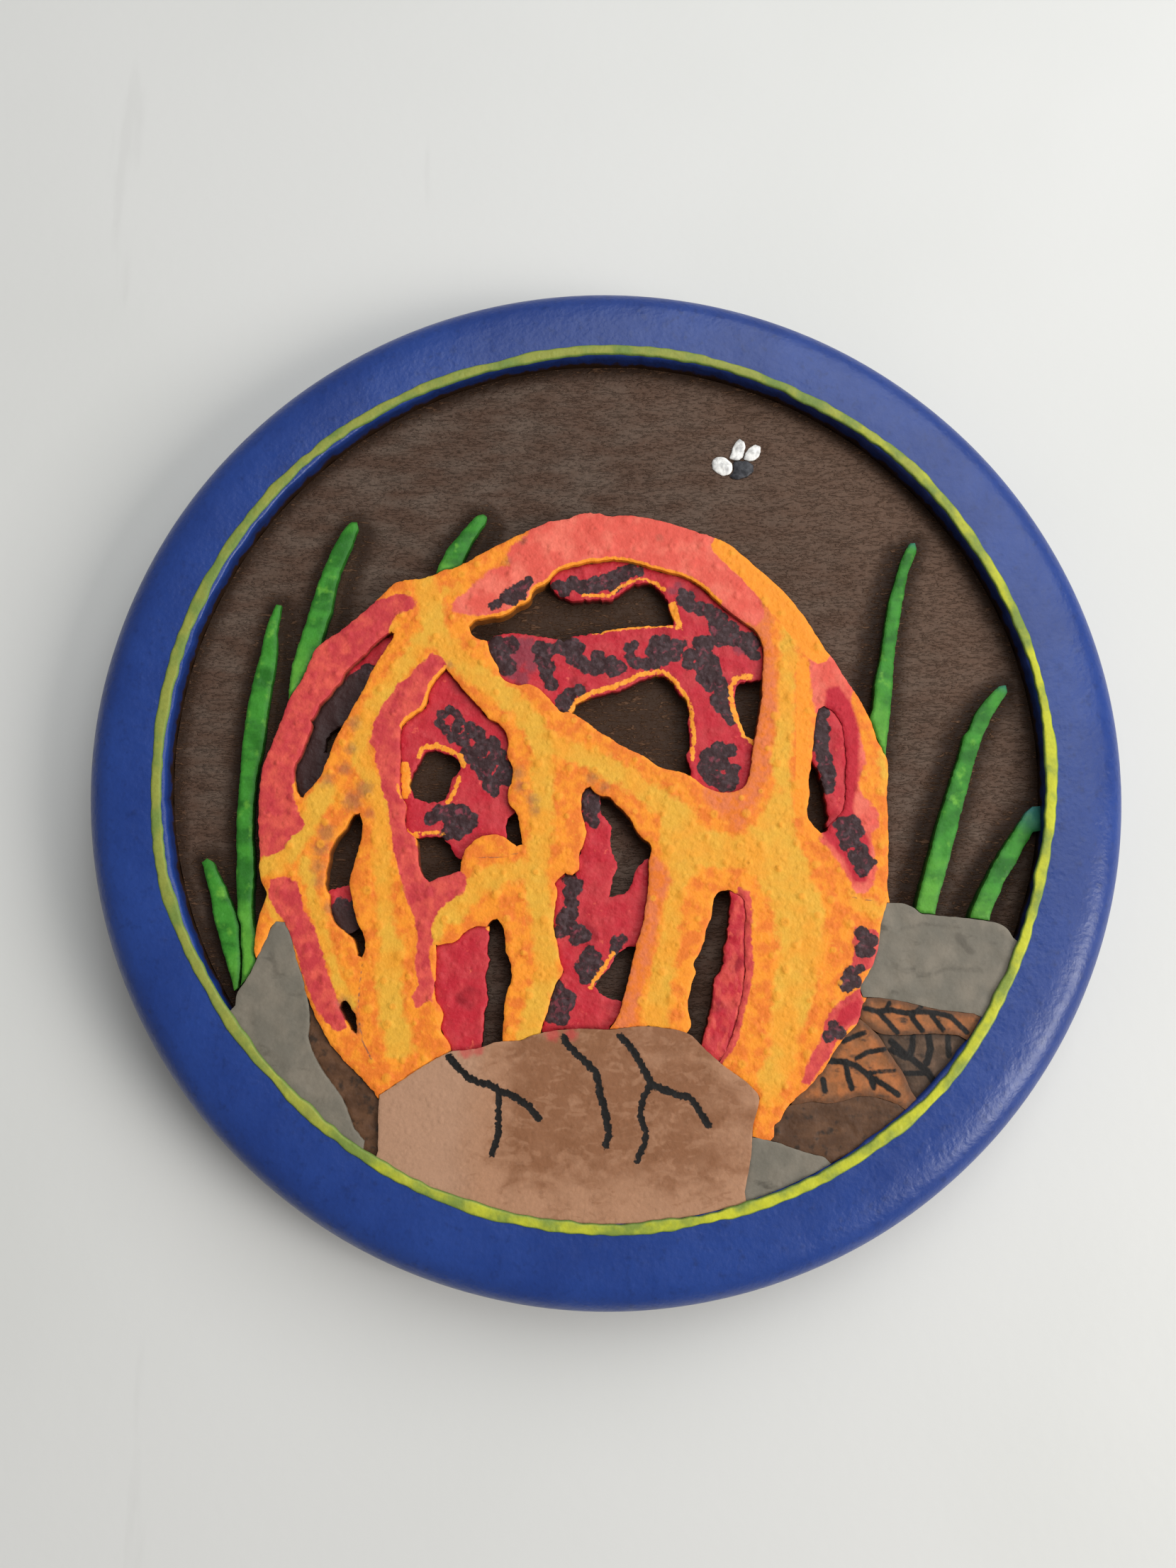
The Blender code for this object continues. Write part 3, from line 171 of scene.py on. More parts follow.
BLUE_GREEN = (0.03, 0.16, 0.20)
# Painted shade on the cut walls of the blades.
GREEN_SHADE = (0.006, 0.03, 0.008)
WHITE = (0.80, 0.78, 0.74)
GREY_WHITE = (0.42, 0.41, 0.40)
INK = (0.022, 0.022, 0.026)
GREY_INK = (0.055, 0.055, 0.062)
BARE_WOOD = (0.60, 0.43, 0.27)
BARE_GRAIN = (0.42, 0.26, 0.14)
TABLE_TOP = (0.60, 0.592, 0.570)
TABLE_SHADE = (0.575, 0.57, 0.545)
TABLE_SCUFF = (0.52, 0.51, 0.49)

# Middle radius of the painted line every 15 degrees, anticlockwise from +X.
LINE_MIDDLE = (
    53.6, 53.7, 53.6, 53.95, 53.55, 53.8, 53.85, 53.4, 53.8, 54.15, 54.15, 54.2,
    54.1, 54.4, 53.6, 53.3, 53.5, 53.6, 53.7, 53.75, 53.9, 54.15, 53.5, 53.2,
)

# Marks on the lattice: areas are closed outlines, strokes are (half width, points).
CORAL_AREAS = [
    [
        (-10.0, 28.8), (-9.0, 31.5), (0.0, 33.0), (10.0, 31.0), (13.2, 28.9), (14.2, 27.0),
        (15.4, 25.4), (17.0, 23.6), (18.2, 21.8), (19.0, 20.4), (19.4, 18.6), (18.6, 17.0),
        (10.0, 20.0), (0.0, 22.0), (-9.0, 18.0), (-14.0, 17.8), (-17.2, 18.5), (-19.0, 18.9),
        (-19.3, 19.9), (-18.6, 20.6), (-17.2, 21.4), (-16.5, 22.5), (-15.3, 23.2), (-14.9, 24.2),
        (-12.1, 24.9), (-12.3, 26.4), (-11.8, 27.3),
    ],
    [
        (24.7, 13.0), (25.8, 13.9), (27.6, 13.8), (30.4, 9.6), (29.7, 8.0), (29.8, 6.0),
        (30.5, 3.8), (31.0, 1.6), (31.2, 0.0), (30.5, -1.6), (30.3, -3.2), (31.2, -4.6),
        (32.5, -6.2), (32.4, -8.0), (31.4, -8.8), (31.6, -10.0), (31.9, -12.6), (31.6, -14.6),
        (30.8, -15.9), (29.4, -15.9), (28.6, -14.2), (27.7, -12.3), (26.4, -10.7), (25.2, -9.4),
        (26.4, -7.0), (27.6, -4.0), (27.6, 4.0), (26.0, 5.0), (25.2, 7.0), (24.9, 10.0),
    ],
]
PEACH_AREAS = [
    [
        (13.6, 25.4), (15.8, 24.6), (18.0, 22.4), (19.8, 20.0), (20.4, 17.6), (19.6, 15.0),
        (18.2, 14.4), (16.0, 18.0), (13.0, 21.0), (11.0, 23.4),
    ],
    [
        (18.8, 18.8), (19.8, 17.4), (20.5, 13.5), (20.7, 9.0), (20.4, 5.0), (19.7, 1.5),
        (19.4, -2.0), (18.4, -4.0), (17.9, -5.2), (17.0, -6.3), (16.3, -7.7), (15.2, -8.3),
        (14.6, -7.4), (13.4, -6.4), (12.1, -5.1), (11.0, -3.4), (14.0, -2.0), (17.0, 0.0),
        (18.0, 8.0), (18.6, 16.0),
    ],
    [
        (4.6, -10.6), (6.0, -11.4), (6.9, -13.0), (7.6, -14.6), (6.8, -16.2), (6.2, -18.0),
        (5.8, -20.5), (5.0, -23.0), (4.3, -25.8), (3.6, -28.6), (2.8, -31.8), (0.5, -31.8),
        (3.0, -22.0), (4.6, -14.0),
    ],
]
ROSE_AREAS = [
    [
        (-27.4, 20.6), (-26.0, 21.0), (-24.7, 21.0), (-23.5, 20.2), (-23.8, 19.2), (-25.4, 18.6),
        (-26.4, 17.8), (-26.8, 16.0), (-28.2, 14.2), (-30.0, 12.6), (-31.6, 10.8), (-33.0, 8.6),
        (-34.4, 6.5), (-35.5, 4.2), (-36.1, 2.2), (-36.9, 0.2), (-37.5, -1.4), (-37.7, -3.2),
        (-37.4, -4.8), (-36.9, -6.2), (-36.1, -7.4), (-36.6, -8.4), (-37.7, -9.2), (-38.4, -10.4),
        (-39.7, -11.2), (-43.0, -11.6), (-44.0, 0.0), (-42.0, 6.0), (-39.4, 9.0), (-37.6, 12.0),
        (-35.8, 15.4), (-31.6, 18.3), (-29.4, 20.0),
    ],
    [
        (-39.9, -14.2), (-38.2, -13.9), (-36.7, -14.5), (-36.2, -16.4), (-35.7, -18.0),
        (-34.8, -19.2), (-34.2, -20.6), (-33.5, -22.6), (-32.9, -24.7), (-32.3, -26.2),
        (-31.5, -28.2), (-30.6, -29.8), (-30.3, -31.5), (-31.6, -31.9), (-32.6, -30.9),
        (-33.8, -29.4), (-34.8, -27.4), (-35.8, -25.0), (-36.4, -22.9), (-37.4, -20.6),
        (-38.6, -18.4), (-39.6, -17.2), (-40.1, -15.5),
    ],
    [
        (-19.9, 12.6), (-20.8, 13.4), (-21.5, 13.7), (-22.4, 12.4), (-23.6, 11.6), (-24.2, 10.4),
        (-25.4, 9.8), (-25.9, 8.7), (-27.2, 7.2), (-27.8, 5.8), (-28.4, 4.8), (-28.4, 3.6),
        (-28.8, 2.4), (-28.0, 1.2), (-27.8, -0.4), (-27.2, -2.0), (-27.0, -3.6), (-26.3, -5.2),
        (-26.1, -7.0), (-25.7, -9.0), (-25.4, -11.0), (-24.9, -12.6), (-24.4, -14.4),
        (-23.8, -16.4), (-23.0, -18.2), (-22.4, -20.2), (-22.4, -22.4), (-22.6, -24.4),
        (-22.1, -26.6), (-22.9, -28.0), (-22.2, -29.5), (-21.5, -28.5), (-20.4, -28.4),
        (-20.2, -26.6), (-20.7, -24.6), (-20.9, -22.6), (-20.3, -21.4), (-20.8, -20.3),
        (-20.3, -18.8), (-19.7, -17.6), (-18.4, -16.6), (-17.0, -15.8), (-16.6, -14.6),
        (-17.4, -13.0), (-22.0, -12.0), (-24.0, -6.0), (-24.4, 4.0), (-21.8, 6.0), (-20.8, 10.0),
        (-19.4, 11.6),
    ],
    [
        (15.4, -15.0), (16.8, -15.6), (17.1, -18.0), (16.9, -21.0), (17.1, -24.0), (16.6, -27.0),
        (15.8, -30.0), (15.0, -33.0), (13.6, -35.0), (12.0, -36.8), (10.0, -35.0), (14.0, -25.0),
    ],
    [
        (29.2, -19.8), (31.9, -20.2), (31.9, -22.5), (31.4, -24.4), (29.8, -25.0), (28.2, -24.8),
        (28.9, -23.0), (28.8, -21.5),
    ],
    [
        (29.5, -27.0), (29.8, -28.8), (29.1, -30.8), (27.4, -31.9), (26.4, -33.2), (25.6, -34.8),
        (24.4, -36.2), (23.2, -38.0), (22.3, -37.6), (22.9, -35.8), (23.8, -34.0), (24.7, -32.8),
        (25.0, -31.4), (25.8, -29.8), (26.7, -28.7), (28.0, -27.8),
    ],
]
CRIMSON_AREAS = [
    [
        (26.8, 9.2), (28.4, 9.4), (30.0, 6.6), (30.6, 3.0), (30.4, 0.0), (30.0, -3.2), (29.6, -6.0),
        (30.6, -8.0), (31.4, -11.6), (30.6, -14.6), (29.2, -14.6), (28.0, -11.6), (26.2, -9.4),
        (26.0, 0.0), (26.4, 5.0),
    ],
    [
        (29.4, -28.0), (29.4, -30.0), (27.6, -31.2), (26.4, -31.0), (26.9, -29.6), (28.2, -28.6),
    ],
]
YELLOW_AREAS = [
    [
        (7.0, -5.6), (10.0, -6.8), (13.0, -8.6), (16.0, -9.0), (18.4, -6.8), (19.8, -4.2),
        (22.2, -3.0), (22.2, -6.5), (22.6, -9.5), (23.6, -12.0), (24.6, -15.0), (25.6, -18.0),
        (25.4, -22.0), (24.6, -25.0), (23.8, -28.0), (22.8, -31.0), (21.8, -34.0), (20.8, -37.0),
        (19.8, -39.5), (17.8, -40.0), (17.2, -37.4), (18.6, -34.5), (19.0, -31.0), (19.4, -27.0),
        (20.0, -23.0), (19.6, -19.0), (18.6, -15.5), (16.5, -13.2), (13.0, -12.6), (10.5, -13.6),
        (9.0, -15.6), (8.6, -18.5), (8.2, -21.5), (7.8, -25.0), (7.2, -28.5), (6.6, -31.8),
        (4.4, -31.8), (4.2, -29.0), (4.9, -26.0), (5.9, -22.0), (6.7, -18.0), (7.2, -14.5),
        (6.6, -11.0), (6.2, -8.0),
    ],
]
YELLOW_STROKES = [
    (1.5, [(-22.4, 22.4), (-21.8, 20.4), (-21.4, 18.6), (-21.4, 16.6)]),
    (1.0, [
        (-22.2, 16.0), (-23.4, 14.2), (-24.6, 12.4), (-26.0, 10.4), (-27.4, 8.4), (-28.8, 6.4),
        (-29.4, 4.4), (-29.9, 2.2), (-29.4, 0.0), (-28.8, -2.0), (-27.8, -4.0),
    ]),
    (1.35, [
        (-20.6, 15.8), (-18.6, 13.4), (-16.6, 11.5), (-14.6, 9.8), (-12.4, 8.2), (-10.4, 6.6),
        (-8.8, 4.4), (-7.8, 2.0), (-7.6, -1.0), (-7.9, -4.0), (-7.8, -7.0), (-8.0, -10.0),
        (-8.6, -13.0), (-8.2, -16.0), (-7.6, -19.0), (-7.5, -22.0), (-7.0, -25.0), (-7.9, -28.0),
        (-8.8, -31.0), (-9.2, -32.6),
    ]),
    (1.3, [
        (-7.4, 2.2), (-4.6, 1.4), (-1.6, 0.2), (1.4, -1.4), (4.2, -3.2), (7.0, -5.2), (9.6, -7.0),
    ]),
    (1.0, [
        (21.2, -3.0), (21.0, 0.0), (21.4, 3.0), (21.7, 7.0), (22.1, 11.0), (22.6, 15.0), (22.8, 16.6),
    ]),
    (1.3, [(-9.0, -13.0), (-12.0, -13.4), (-14.6, -14.4), (-16.8, -16.4), (-18.6, -18.2)]),
    (0.8, [(-18.6, -18.2), (-19.8, -19.6), (-20.3, -21.2)]),
    (0.9, [
        (-27.2, -3.0), (-27.1, -7.0), (-26.9, -11.0), (-26.6, -15.0), (-26.2, -18.6), (-25.6, -21.4),
    ]),
    (1.5, [(-25.3, -22.0), (-25.6, -25.0), (-25.4, -28.0), (-24.8, -31.0), (-24.0, -33.6)]),
    (1.2, [
        (-33.8, -3.6), (-35.0, -5.8), (-36.2, -8.2), (-37.6, -10.6), (-39.2, -12.2), (-41.0, -12.8),
    ]),
    (0.7, [
        (-36.0, -11.8), (-35.4, -14.4), (-34.6, -17.4), (-33.6, -20.4), (-32.4, -23.6), (-31.4, -26.4),
        (-29.9, -28.6),
    ]),
    (0.5, [(-40.4, -15.6), (-39.8, -17.4), (-38.8, -19.0)]),
    (0.6, [(-41.5, -6.9), (-40.9, -6.9)]),
    (0.35, [(-26.4, 17.0), (-27.6, 15.8), (-28.8, 14.8)]),
    (0.35, [(-36.0, 5.3), (-36.6, 3.6), (-37.4, 1.4), (-38.0, -0.4)]),
    (0.5, [(-20.0, 21.4), (-18.4, 21.9)]),
    (0.5, [(33.2, 1.0), (33.4, -1.0), (33.0, -3.6)]),
    (0.8, [(29.6, -17.0), (31.0, -17.8), (32.2, -18.2)]),
]
AMBER_STROKES = [
    (1.5, [
        (14.6, 27.4), (17.4, 24.6), (20.0, 21.6), (22.6, 18.4), (24.6, 15.6), (26.0, 13.8),
    ]),
    (0.8, [(24.0, 12.0), (23.8, 6.0), (23.6, 0.0), (23.2, -6.0)]),
]
EDGE_STROKES = [
    (1.4, [(-17.6, 17.6), (-14.6, 18.6), (-12.4, 19.1), (-10.8, 19.9), (-9.3, 21.6), (-8.0, 23.8)]),
    (0.9, [(-6.4, 24.6), (-3.0, 25.2), (0.4, 25.6), (4.4, 25.2), (8.4, 24.0), (11.6, 22.6), (13.4, 20.4)]),
    (0.8, [(-24.4, 4.6), (-23.0, 6.6), (-22.0, 8.6), (-21.0, 10.6), (-19.6, 12.0)]),
    (0.9, [(-27.4, 0.6), (-26.4, -1.6), (-25.6, -4.6)]),
]
SEAM_STROKES = [
    (0.10, [(-28.6, -23.6), (-28.9, -26.0), (-29.0, -28.0), (-28.9, -30.6), (-28.4, -33.0), (-27.3, -35.0)]),
    (0.07, [(-16.8, -11.4), (-14.8, -11.6), (-12.6, -11.6), (-10.4, -11.0)]),
    (0.07, [(29.0, -16.3), (31.0, -16.7), (33.0, -16.4)]),
]
SMUDGES = [
    (-30.6, 4.7, 0.7), (-30.9, 1.6, 0.6), (-31.6, -0.9, 0.7), (-29.2, -3.4, 1.0), (-30.6, -4.8, 1.1),
    (-33.6, -2.3, 0.7), (-33.5, -8.6, 1.0), (-34.2, -10.6, 0.9), (-34.4, -12.6, 0.8), (-34.2, -14.4, 0.6),
    (-12.3, 25.3, 0.4), (-10.4, 28.0, 0.45), (-10.7, -1.4, 0.8), (-10.3, -3.1, 0.6), (-9.0, -4.6, 0.7),
    (-8.6, -6.0, 0.5), (-33.0, -17.6, 0.6), (-19.3, 12.0, 0.35), (-28.4, -6.4, 0.4), (-1.8, -2.0, 0.6),
    (-0.4, -3.0, 0.6), (-30.8, -28.6, 0.7), (-30.0, -29.8, 0.6), (-29.2, -31.6, 0.5), (6.6, 28.4, 0.25),
]

# Dark dabs of the brush, (x, y, radius).
LATTICE_DABS = [
    (-14.2, 19.6, 0.5), (-13.4, 19.9, 0.65), (-12.6, 20.6, 0.75), (-12.2, 21.3, 0.65), (-11.6, 20.4, 0.8),
    (-11.2, 21.5, 0.9), (-10.6, 21.0, 0.8), (-10.2, 22.2, 0.8), (-9.7, 22.9, 0.6), (28.0, -7.6, 0.9),
    (29.4, -7.4, 1.0), (29.9, -8.4, 0.9), (28.4, -8.8, 1.1), (29.2, -9.6, 0.9), (28.2, -10.2, 0.6),
    (30.2, -10.8, 0.9), (29.4, -11.6, 0.9), (31.0, -12.2, 0.9), (30.2, -13.0, 0.9), (30.0, -20.6, 0.9),
    (31.0, -21.4, 0.8), (29.9, -22.4, 0.9), (30.9, -22.6, 0.7), (28.4, -25.2, 0.9), (29.4, -24.8, 0.7),
    (28.0, -26.4, 1.0), (29.0, -26.2, 0.7), (26.2, -31.4, 0.8), (26.8, -32.0, 0.8), (25.6, -32.4, 0.7),
]
UPPER_DABS = [
    (-6.2, 22.6, 0.7), (-5.2, 22.1, 1.0), (-4.1, 22.9, 0.9), (-2.9, 22.3, 1.1), (-1.4, 22.6, 1.1),
    (-0.2, 23.0, 1.1), (1.0, 23.5, 1.1), (2.2, 24.1, 1.1), (3.2, 24.5, 0.9), (4.2, 24.3, 0.6),
    (1.0, 22.3, 0.8), (-13.4, 14.6, 1.4), (-13.2, 13.2, 1.4), (-12.2, 12.0, 1.2), (-12.0, 14.8, 1.2),
    (-8.2, 14.4, 1.0), (-8.0, 13.2, 1.0), (-7.4, 12.0, 1.0), (-7.6, 11.0, 0.7), (-6.9, 14.2, 0.9),
    (-6.8, 9.9, 0.95), (-5.2, 14.6, 1.2), (-4.2, 14.9, 1.0), (-3.4, 14.4, 0.8), (-4.2, 13.2, 0.9),
    (-5.1, 7.6, 1.2), (-4.6, 8.6, 0.9), (-3.3, 9.0, 0.8), (-5.3, 6.8, 0.9), (-3.2, 12.8, 1.0),
    (-2.4, 12.0, 1.0), (-1.6, 11.6, 0.8), (-1.0, 13.2, 1.0), (-0.8, 12.0, 1.0), (0.4, 12.6, 0.9),
    (0.6, 11.6, 0.9), (1.6, 12.0, 0.9), (2.9, 14.4, 0.8), (2.9, 13.4, 0.8), (3.6, 12.6, 0.9),
    (4.8, 12.4, 0.8), (5.9, 12.6, 0.9), (3.5, 15.0, 0.5), (5.9, 14.0, 1.1), (6.2, 15.2, 0.9),
    (7.2, 15.4, 0.8), (7.4, 14.2, 1.1), (7.0, 13.0, 0.9), (8.6, 14.6, 1.0), (8.4, 13.4, 0.8),
    (9.4, 15.0, 0.6), (10.3, 13.6, 0.9), (10.0, 12.4, 0.8), (11.6, 15.0, 1.1), (12.6, 15.2, 0.9),
    (12.0, 13.6, 1.1), (12.8, 12.6, 1.2), (11.8, 12.0, 1.0), (11.8, 10.8, 0.9), (13.2, 11.2, 1.1),
    (13.8, 10.0, 1.1), (12.6, 9.8, 0.9), (14.2, 8.6, 1.1), (13.4, 7.8, 0.8), (14.0, 7.0, 0.9),
    (14.6, 6.2, 0.9), (15.2, 5.4, 0.8), (9.4, 21.6, 0.6), (9.4, 20.6, 0.8), (10.4, 21.2, 0.7),
    (10.4, 20.0, 0.9), (11.6, 19.6, 1.0), (12.6, 19.4, 0.9), (13.4, 18.6, 1.1), (14.2, 18.2, 0.9),
    (13.6, 17.2, 1.2), (14.6, 16.8, 1.2), (15.6, 17.0, 0.9), (15.6, 15.8, 1.2), (16.6, 15.6, 1.1),
    (17.6, 15.8, 0.8), (14.0, 15.8, 1.2), (17.6, 14.6, 1.0), (18.4, 15.2, 0.8), (18.3, 13.6, 0.7),
    (12.4, 0.8, 1.1), (13.6, 1.6, 1.1), (15.0, 1.6, 0.9), (12.0, -0.6, 1.1), (12.8, -1.8, 1.1),
    (14.0, -2.4, 1.0), (15.0, -1.8, 1.0), (15.4, -0.8, 0.8), (13.8, 0.0, 1.0), (14.8, -2.8, 0.7),
]
UPPER_HAZE_DABS = [
    (-10.8, 14.6, 1.2), (-11.0, 13.0, 1.2), (-11.6, 11.4, 1.1), (-9.8, 13.6, 1.1), (-9.6, 15.0, 0.8),
    (-9.2, 12.2, 0.9), (-10.4, 10.6, 0.9), (8.2, 21.8, 0.6), (9.0, 22.6, 0.6), (16.4, 14.4, 0.8),
]
LEFT_DABS = [
    (-19.2, 6.6, 0.6), (-20.2, 6.0, 0.7), (-20.3, 5.0, 0.7), (-19.6, 4.2, 0.7), (-18.4, 4.2, 0.7),
    (-18.0, 5.2, 0.7), (-18.3, 6.1, 0.6), (-18.8, 3.2, 0.8), (-17.6, 2.9, 0.9), (-16.6, 4.4, 0.8),
    (-15.6, 3.4, 1.0), (-16.8, 1.0, 1.1), (-15.4, 1.6, 1.1), (-14.0, 2.3, 1.0), (-13.3, 0.8, 1.1),
    (-12.3, -0.8, 1.1), (-12.0, -2.1, 0.9), (-14.9, -1.2, 1.0), (-14.0, -2.7, 1.1), (-15.5, -0.2, 1.0),
    (-14.2, -0.4, 0.9), (-13.0, -1.8, 0.9), (-13.6, -3.6, 0.6), (-21.2, -6.8, 0.9), (-20.2, -6.1, 1.0),
    (-18.9, -6.0, 1.0), (-17.6, -6.1, 1.1), (-16.4, -6.9, 1.0), (-17.0, -7.9, 0.9), (-18.6, -7.6, 1.1),
    (-19.2, -8.6, 0.8), (-17.9, -8.6, 0.8),
]
CENTRE_DABS = [
    (-2.4, -3.6, 0.8), (-1.6, -4.2, 0.8), (-2.4, -5.0, 0.9), (-1.4, -5.6, 0.8), (-2.2, -6.4, 0.8),
    (-1.6, -7.2, 0.8), (-4.4, -14.2, 0.9), (-3.8, -15.2, 0.9), (-4.6, -15.6, 0.7), (-3.4, -14.6, 0.6),
    (-4.2, -17.0, 0.9), (-4.4, -18.2, 1.0), (-5.2, -19.0, 0.9), (-5.6, -20.4, 0.8), (-4.4, -19.8, 1.0),
    (-3.4, -20.4, 1.0), (-2.6, -20.8, 0.8), (-3.8, -21.2, 0.8), (-2.2, -22.6, 0.7), (-2.6, -23.6, 0.9),
    (-1.4, -23.4, 0.8), (-3.2, -24.4, 0.8), (-2.2, -24.8, 0.9), (-1.0, -24.2, 0.7), (-2.6, -25.8, 0.7),
    (-1.6, -25.6, 0.7), (-5.8, -26.8, 0.8), (-5.6, -27.8, 1.2), (-5.0, -28.6, 1.2), (-6.2, -29.0, 1.0),
    (-6.4, -30.0, 1.0), (-5.4, -30.2, 1.0), (-4.4, -28.0, 0.7), (1.2, -21.6, 0.8), (1.8, -21.2, 0.6),
    (0.8, -22.6, 0.6),
]
RIGHT_DABS = [
    (26.3, 6.2, 0.9), (25.8, 5.2, 0.9), (26.2, 4.2, 1.0), (26.0, 3.0, 1.1), (25.9, 1.8, 1.1),
    (26.2, 0.6, 1.1), (26.4, -0.6, 1.0), (26.8, -1.4, 0.8), (26.6, -2.4, 0.9), (26.6, -3.3, 0.7),
]
CRESCENT_DABS = [
    (-29.4, 11.4, 1.2), (-30.4, 10.0, 1.7), (-31.4, 8.2, 2.0), (-32.6, 6.0, 2.2), (-33.6, 3.6, 2.4),
    (-34.8, 1.2, 2.4), (-35.6, -0.6, 1.9), (-36.8, -1.6, 0.8), (-34.8, -2.0, 0.7),
]
SPINDLE_DABS = [
    (-31.6, -17.4, 1.1), (-30.8, -18.2, 1.2), (-30.2, -19.2, 1.0), (-32.2, -18.2, 0.8), (-30.0, -17.4, 0.9),
]
NO_DABS = [(-40, 0, 0.1)]
RED_SPOTS = [(-16.4, -34.0, 0.9), (-15.0, -33.9, 0.6), (-6.4, -32.2, 0.8), (-4.2, -32.2, 0.7)]

# Bright lips of paint round the openings of the inner layer.
LIP_STROKES = [
    (0.16, [(-1.8, 16.3), (1.6, 16.9), (5.0, 17.2), (7.4, 17.3), (9.2, 17.0)]),
    (0.45, [(9.0, 17.6), (8.5, 18.6), (8.2, 20.0)]),
    (0.20, [(-3.0, 21.2), (0.4, 21.2), (1.6, 22.2), (2.8, 23.0), (4.4, 23.4), (6.0, 23.0), (7.2, 22.0)]),
    (0.30, [(-4.4, 6.4), (-3.6, 7.8), (-1.6, 8.8), (0.6, 9.5), (2.4, 10.2), (4.0, 11.1), (6.8, 11.4)]),
    (0.25, [(7.4, 11.2), (8.6, 10.0), (9.5, 8.6), (10.3, 7.0), (10.5, 4.4), (10.6, 2.4), (10.3, 0.4)]),
    (0.30, [(17.8, 10.9), (15.8, 10.6), (15.2, 9.4), (15.3, 7.6), (15.8, 5.6), (16.8, 3.4), (17.8, 2.6)]),
    (0.30, [(-22.9, 0.8), (-22.4, 1.8), (-20.8, 2.2), (-19.2, 1.6), (-17.8, 0.9), (-17.4, -0.4)]),
    (0.25, [(-17.8, -1.8), (-18.4, -3.4), (-19.2, -4.8)]),
    (0.55, [(-24.5, -0.4), (-24.3, -2.0), (-24.3, -3.8)]),
    (0.40, [(-24.0, -8.6), (-23.0, -9.2), (-23.0, -11.4), (-22.4, -13.2), (-21.4, -14.6)]),
    (0.18, [(-23.4, -8.7), (-20.8, -8.5), (-19.6, -8.7)]),
    (0.25, [(0.6, -22.8), (-0.3, -24.4), (-1.4, -25.8), (-2.0, -26.8)]),
    (0.20, [(-14.2, -18.8), (-14.0, -20.0)]),
]

# Painted cracks, veins and shadows, (half width, points).
CRACKS = [
    (0.42, [
        (-18.3, -34.7), (-17.3, -35.9), (-16.2, -37.0), (-14.9, -37.6), (-13.4, -37.9), (-12.3, -38.6),
        (-10.9, -39.1), (-9.9, -39.7), (-9.0, -40.3), (-8.4, -41.1), (-7.9, -41.6),
    ]),
    (0.36, [(-12.6, -38.4), (-12.5, -40.0), (-12.6, -41.5), (-12.5, -43.0), (-12.9, -44.5), (-13.3, -45.6)]),
    (0.42, [
        (-5.1, -32.5), (-4.8, -33.2), (-3.6, -34.4), (-2.5, -35.4), (-1.4, -36.4), (-1.1, -37.6),
        (-0.9, -39.0), (-0.4, -40.6), (-0.1, -42.0), (0.1, -43.4), (-0.3, -44.6),
    ]),
    (0.42, [
        (1.4, -32.4), (2.1, -33.0), (3.2, -34.4), (3.9, -35.8), (4.6, -37.0), (4.9, -37.8),
        (6.4, -38.4), (8.0, -39.0), (9.4, -39.3), (10.1, -40.2), (10.8, -41.4), (11.5, -42.3),
    ]),
    (0.36, [
        (4.7, -38.2), (4.1, -39.2), (3.7, -40.6), (3.8, -41.8), (4.3, -43.0), (4.2, -44.2),
        (3.7, -45.4), (3.3, -46.3),
    ]),
]
UPPER_VEINS = [
    (0.33, [
        (30.0, -29.2), (31.5, -29.6), (33.0, -29.4), (34.8, -29.8), (36.4, -29.6), (38.5, -29.8),
        (40.0, -30.2), (41.0, -31.2), (41.8, -32.0),
    ]),
    (0.28, [(32.4, -29.4), (32.9, -28.6)]),
    (0.32, [(31.6, -29.7), (32.6, -30.8), (33.6, -32.0)]),
    (0.32, [(35.2, -29.8), (35.8, -30.8), (36.6, -31.8)]),
    (0.32, [(37.7, -29.9), (38.4, -30.9), (39.0, -31.7)]),
    (0.24, [(36.0, -29.5), (36.6, -29.0)]),
]
LOWER_VEINS = [
    (0.36, [(25.5, -35.2), (27.5, -35.3), (28.8, -35.8), (30.3, -37.0), (32.0, -38.0), (33.4, -39.0)]),
    (0.36, [(27.5, -35.5), (27.7, -37.0), (28.1, -38.3)]),
    (0.36, [(24.8, -37.3), (25.0, -38.6)]),
    (0.32, [(30.3, -37.2), (30.6, -38.2)]),
    (0.30, [(28.8, -34.9), (30.0, -34.2), (32.0, -33.9)]),
    (0.22, [(29.9, -36.5), (31.5, -36.4), (33.2, -36.3)]),
    (0.30, [(27.3, -33.0), (28.6, -32.4), (29.8, -32.0)]),
]
SHADOWED_VEINS = [
    (0.36, [(35.5, -32.4), (35.3, -34.3)]),
    (0.42, [(37.3, -32.3), (37.5, -33.8), (37.0, -35.5)]),
    (0.36, [(39.6, -32.5), (39.6, -34.6)]),
    (0.42, [(33.0, -33.0), (34.2, -34.2), (35.6, -35.3), (36.8, -36.2), (37.6, -37.4)]),
    (0.30, [(34.4, -36.6), (36.6, -36.6)]),
    (0.30, [(32.8, -34.0), (34.6, -34.9)]),
]
STONE_STROKES = [
    (0.10, [(34.6, -20.0), (37.6, -19.4), (40.4, -19.8)]),
    (0.45, [(41.4, -21.0), (42.6, -22.6)]),
    (0.15, [(36.4, -25.6), (40.2, -24.6), (43.8, -24.9)]),
    (0.10, [(33.4, -24.0), (35.0, -25.2)]),
    (0.30, [(-39.4, -23.0), (-38.8, -25.0)]),
]


# ---------------------------------------------------------------- outlines


